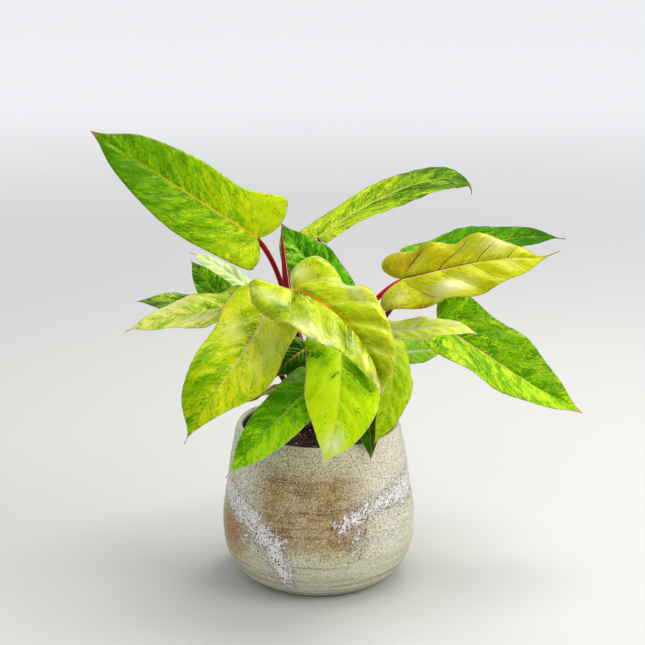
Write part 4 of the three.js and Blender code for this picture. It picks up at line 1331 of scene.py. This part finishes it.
for order, (name, given) in enumerate(leaves.items()):
    leaf = {**plainLeaf, **given, "curve": cubicThrough(given["midrib"])}
    steps, _ = bezier(leaf["curve"], np.linspace(0, 1, 201))
    leaf["length"] = float(np.linalg.norm(np.diff(steps, axis=0), axis=1).sum())
    leaf["veinSpace"] = leaf["length"] / leaf["veins"]
    leaf["seed"], leaf["phase"] = order * 3.7, order * 0.37
    makeBlade(name, leaf)
    makePetiole(name, leaf)
    print("stage: leaf", name)

makeStem([leaf["petiole"]["height"] for leaf in leaves.values()])
makeSheath()
print("stage: stem and sheath")


# Floor, light and camera

studio = {
    "floorSize": 40.0, "floor": "c4c4c1", "far": "f4f5f7", "glow": 0.3,
    "world": (0.97, 0.98, 1.0), "worldStrength": 0.62,
    "lights": {
        "window": {"at": (1.5, -0.7, 1.25), "size": 1.3, "power": 20.0, "colour": (1.0, 0.98, 0.95)},
        "front": {"at": (-0.9, -1.8, 1.3), "size": 1.6, "power": 8.5, "colour": (0.97, 0.98, 1.0)},
        "above": {"at": (0.35, 0.25, 1.3), "size": 0.8, "power": 15.0, "colour": (1.0, 0.99, 0.97)},
    },
    "aim": (0.01, 0.0, 0.2), "camera": (0.0034, -1.2145, 0.5404), "tilt": 75.2, "lens": 85.0,
}


def makeStudio():
    material, tree, shader = startMaterial("paleFloor")
    place = put(tree, "ShaderNodeTexCoord").outputs["Object"]  # in metres
    away = put(tree, "ShaderNodeVectorMath", operation="LENGTH")
    feed(tree, away.inputs[0], place)
    wander = timesPlus(tree, grain(tree, place, 3.0, 3.0), 0.1, away.outputs["Value"])
    shade = tint(tree, ease(tree, wander, 0.3, 3.2), paint(studio["floor"]), paint(studio["far"]))
    feed(tree, shader.inputs["Base Color"], shade)
    shader.inputs["Roughness"].default_value = 0.9
    shader.inputs["Emission Strength"].default_value = studio["glow"]
    glow = tint(tree, ease(tree, wander, 0.5, 4.0), paint("000000"), paint("ffffff"))
    feed(tree, shader.inputs["Emission Color"], glow)
    edge = studio["floorSize"] / 2
    mesh = bpy.data.meshes.new("studio_floor")
    corners = [(-edge, -edge, 0), (edge, -edge, 0), (edge, edge, 0), (-edge, edge, 0)]
    mesh.from_pydata(corners, [], [(0, 1, 2, 3)])
    mesh.materials.append(material)
    floor = bpy.data.objects.new("studio_floor", mesh)
    bpy.context.collection.objects.link(floor)
    scene = bpy.context.scene
    scene.world = bpy.data.worlds.new("studio")
    scene.world.use_nodes = True
    sky = scene.world.node_tree.nodes["Background"]
    sky.inputs["Color"].default_value = (*studio["world"], 1.0)
    sky.inputs["Strength"].default_value = studio["worldStrength"]
    for name, setting in studio["lights"].items():
        light = bpy.data.lights.new(name, "AREA")
        light.size = setting["size"]
        light.energy = setting["power"]
        light.color = setting["colour"]
        lamp = bpy.data.objects.new(name, light)
        lamp.location = setting["at"]
        way = Vector(setting["at"]) - Vector(studio["aim"])
        lamp.rotation_euler = way.to_track_quat("Z", "Y").to_euler()
        bpy.context.collection.objects.link(lamp)
    camera = bpy.data.objects.new("camera", bpy.data.cameras.new("camera"))
    camera.data.lens = studio["lens"]
    camera.data.sensor_width = 36.0
    camera.location = studio["camera"]
    camera.rotation_euler = (math.radians(studio["tilt"]), 0.0, 0.0)
    bpy.context.collection.objects.link(camera)
    scene.camera = camera
    scene.view_settings.view_transform = "Standard"


makeStudio()
print("stage: studio")
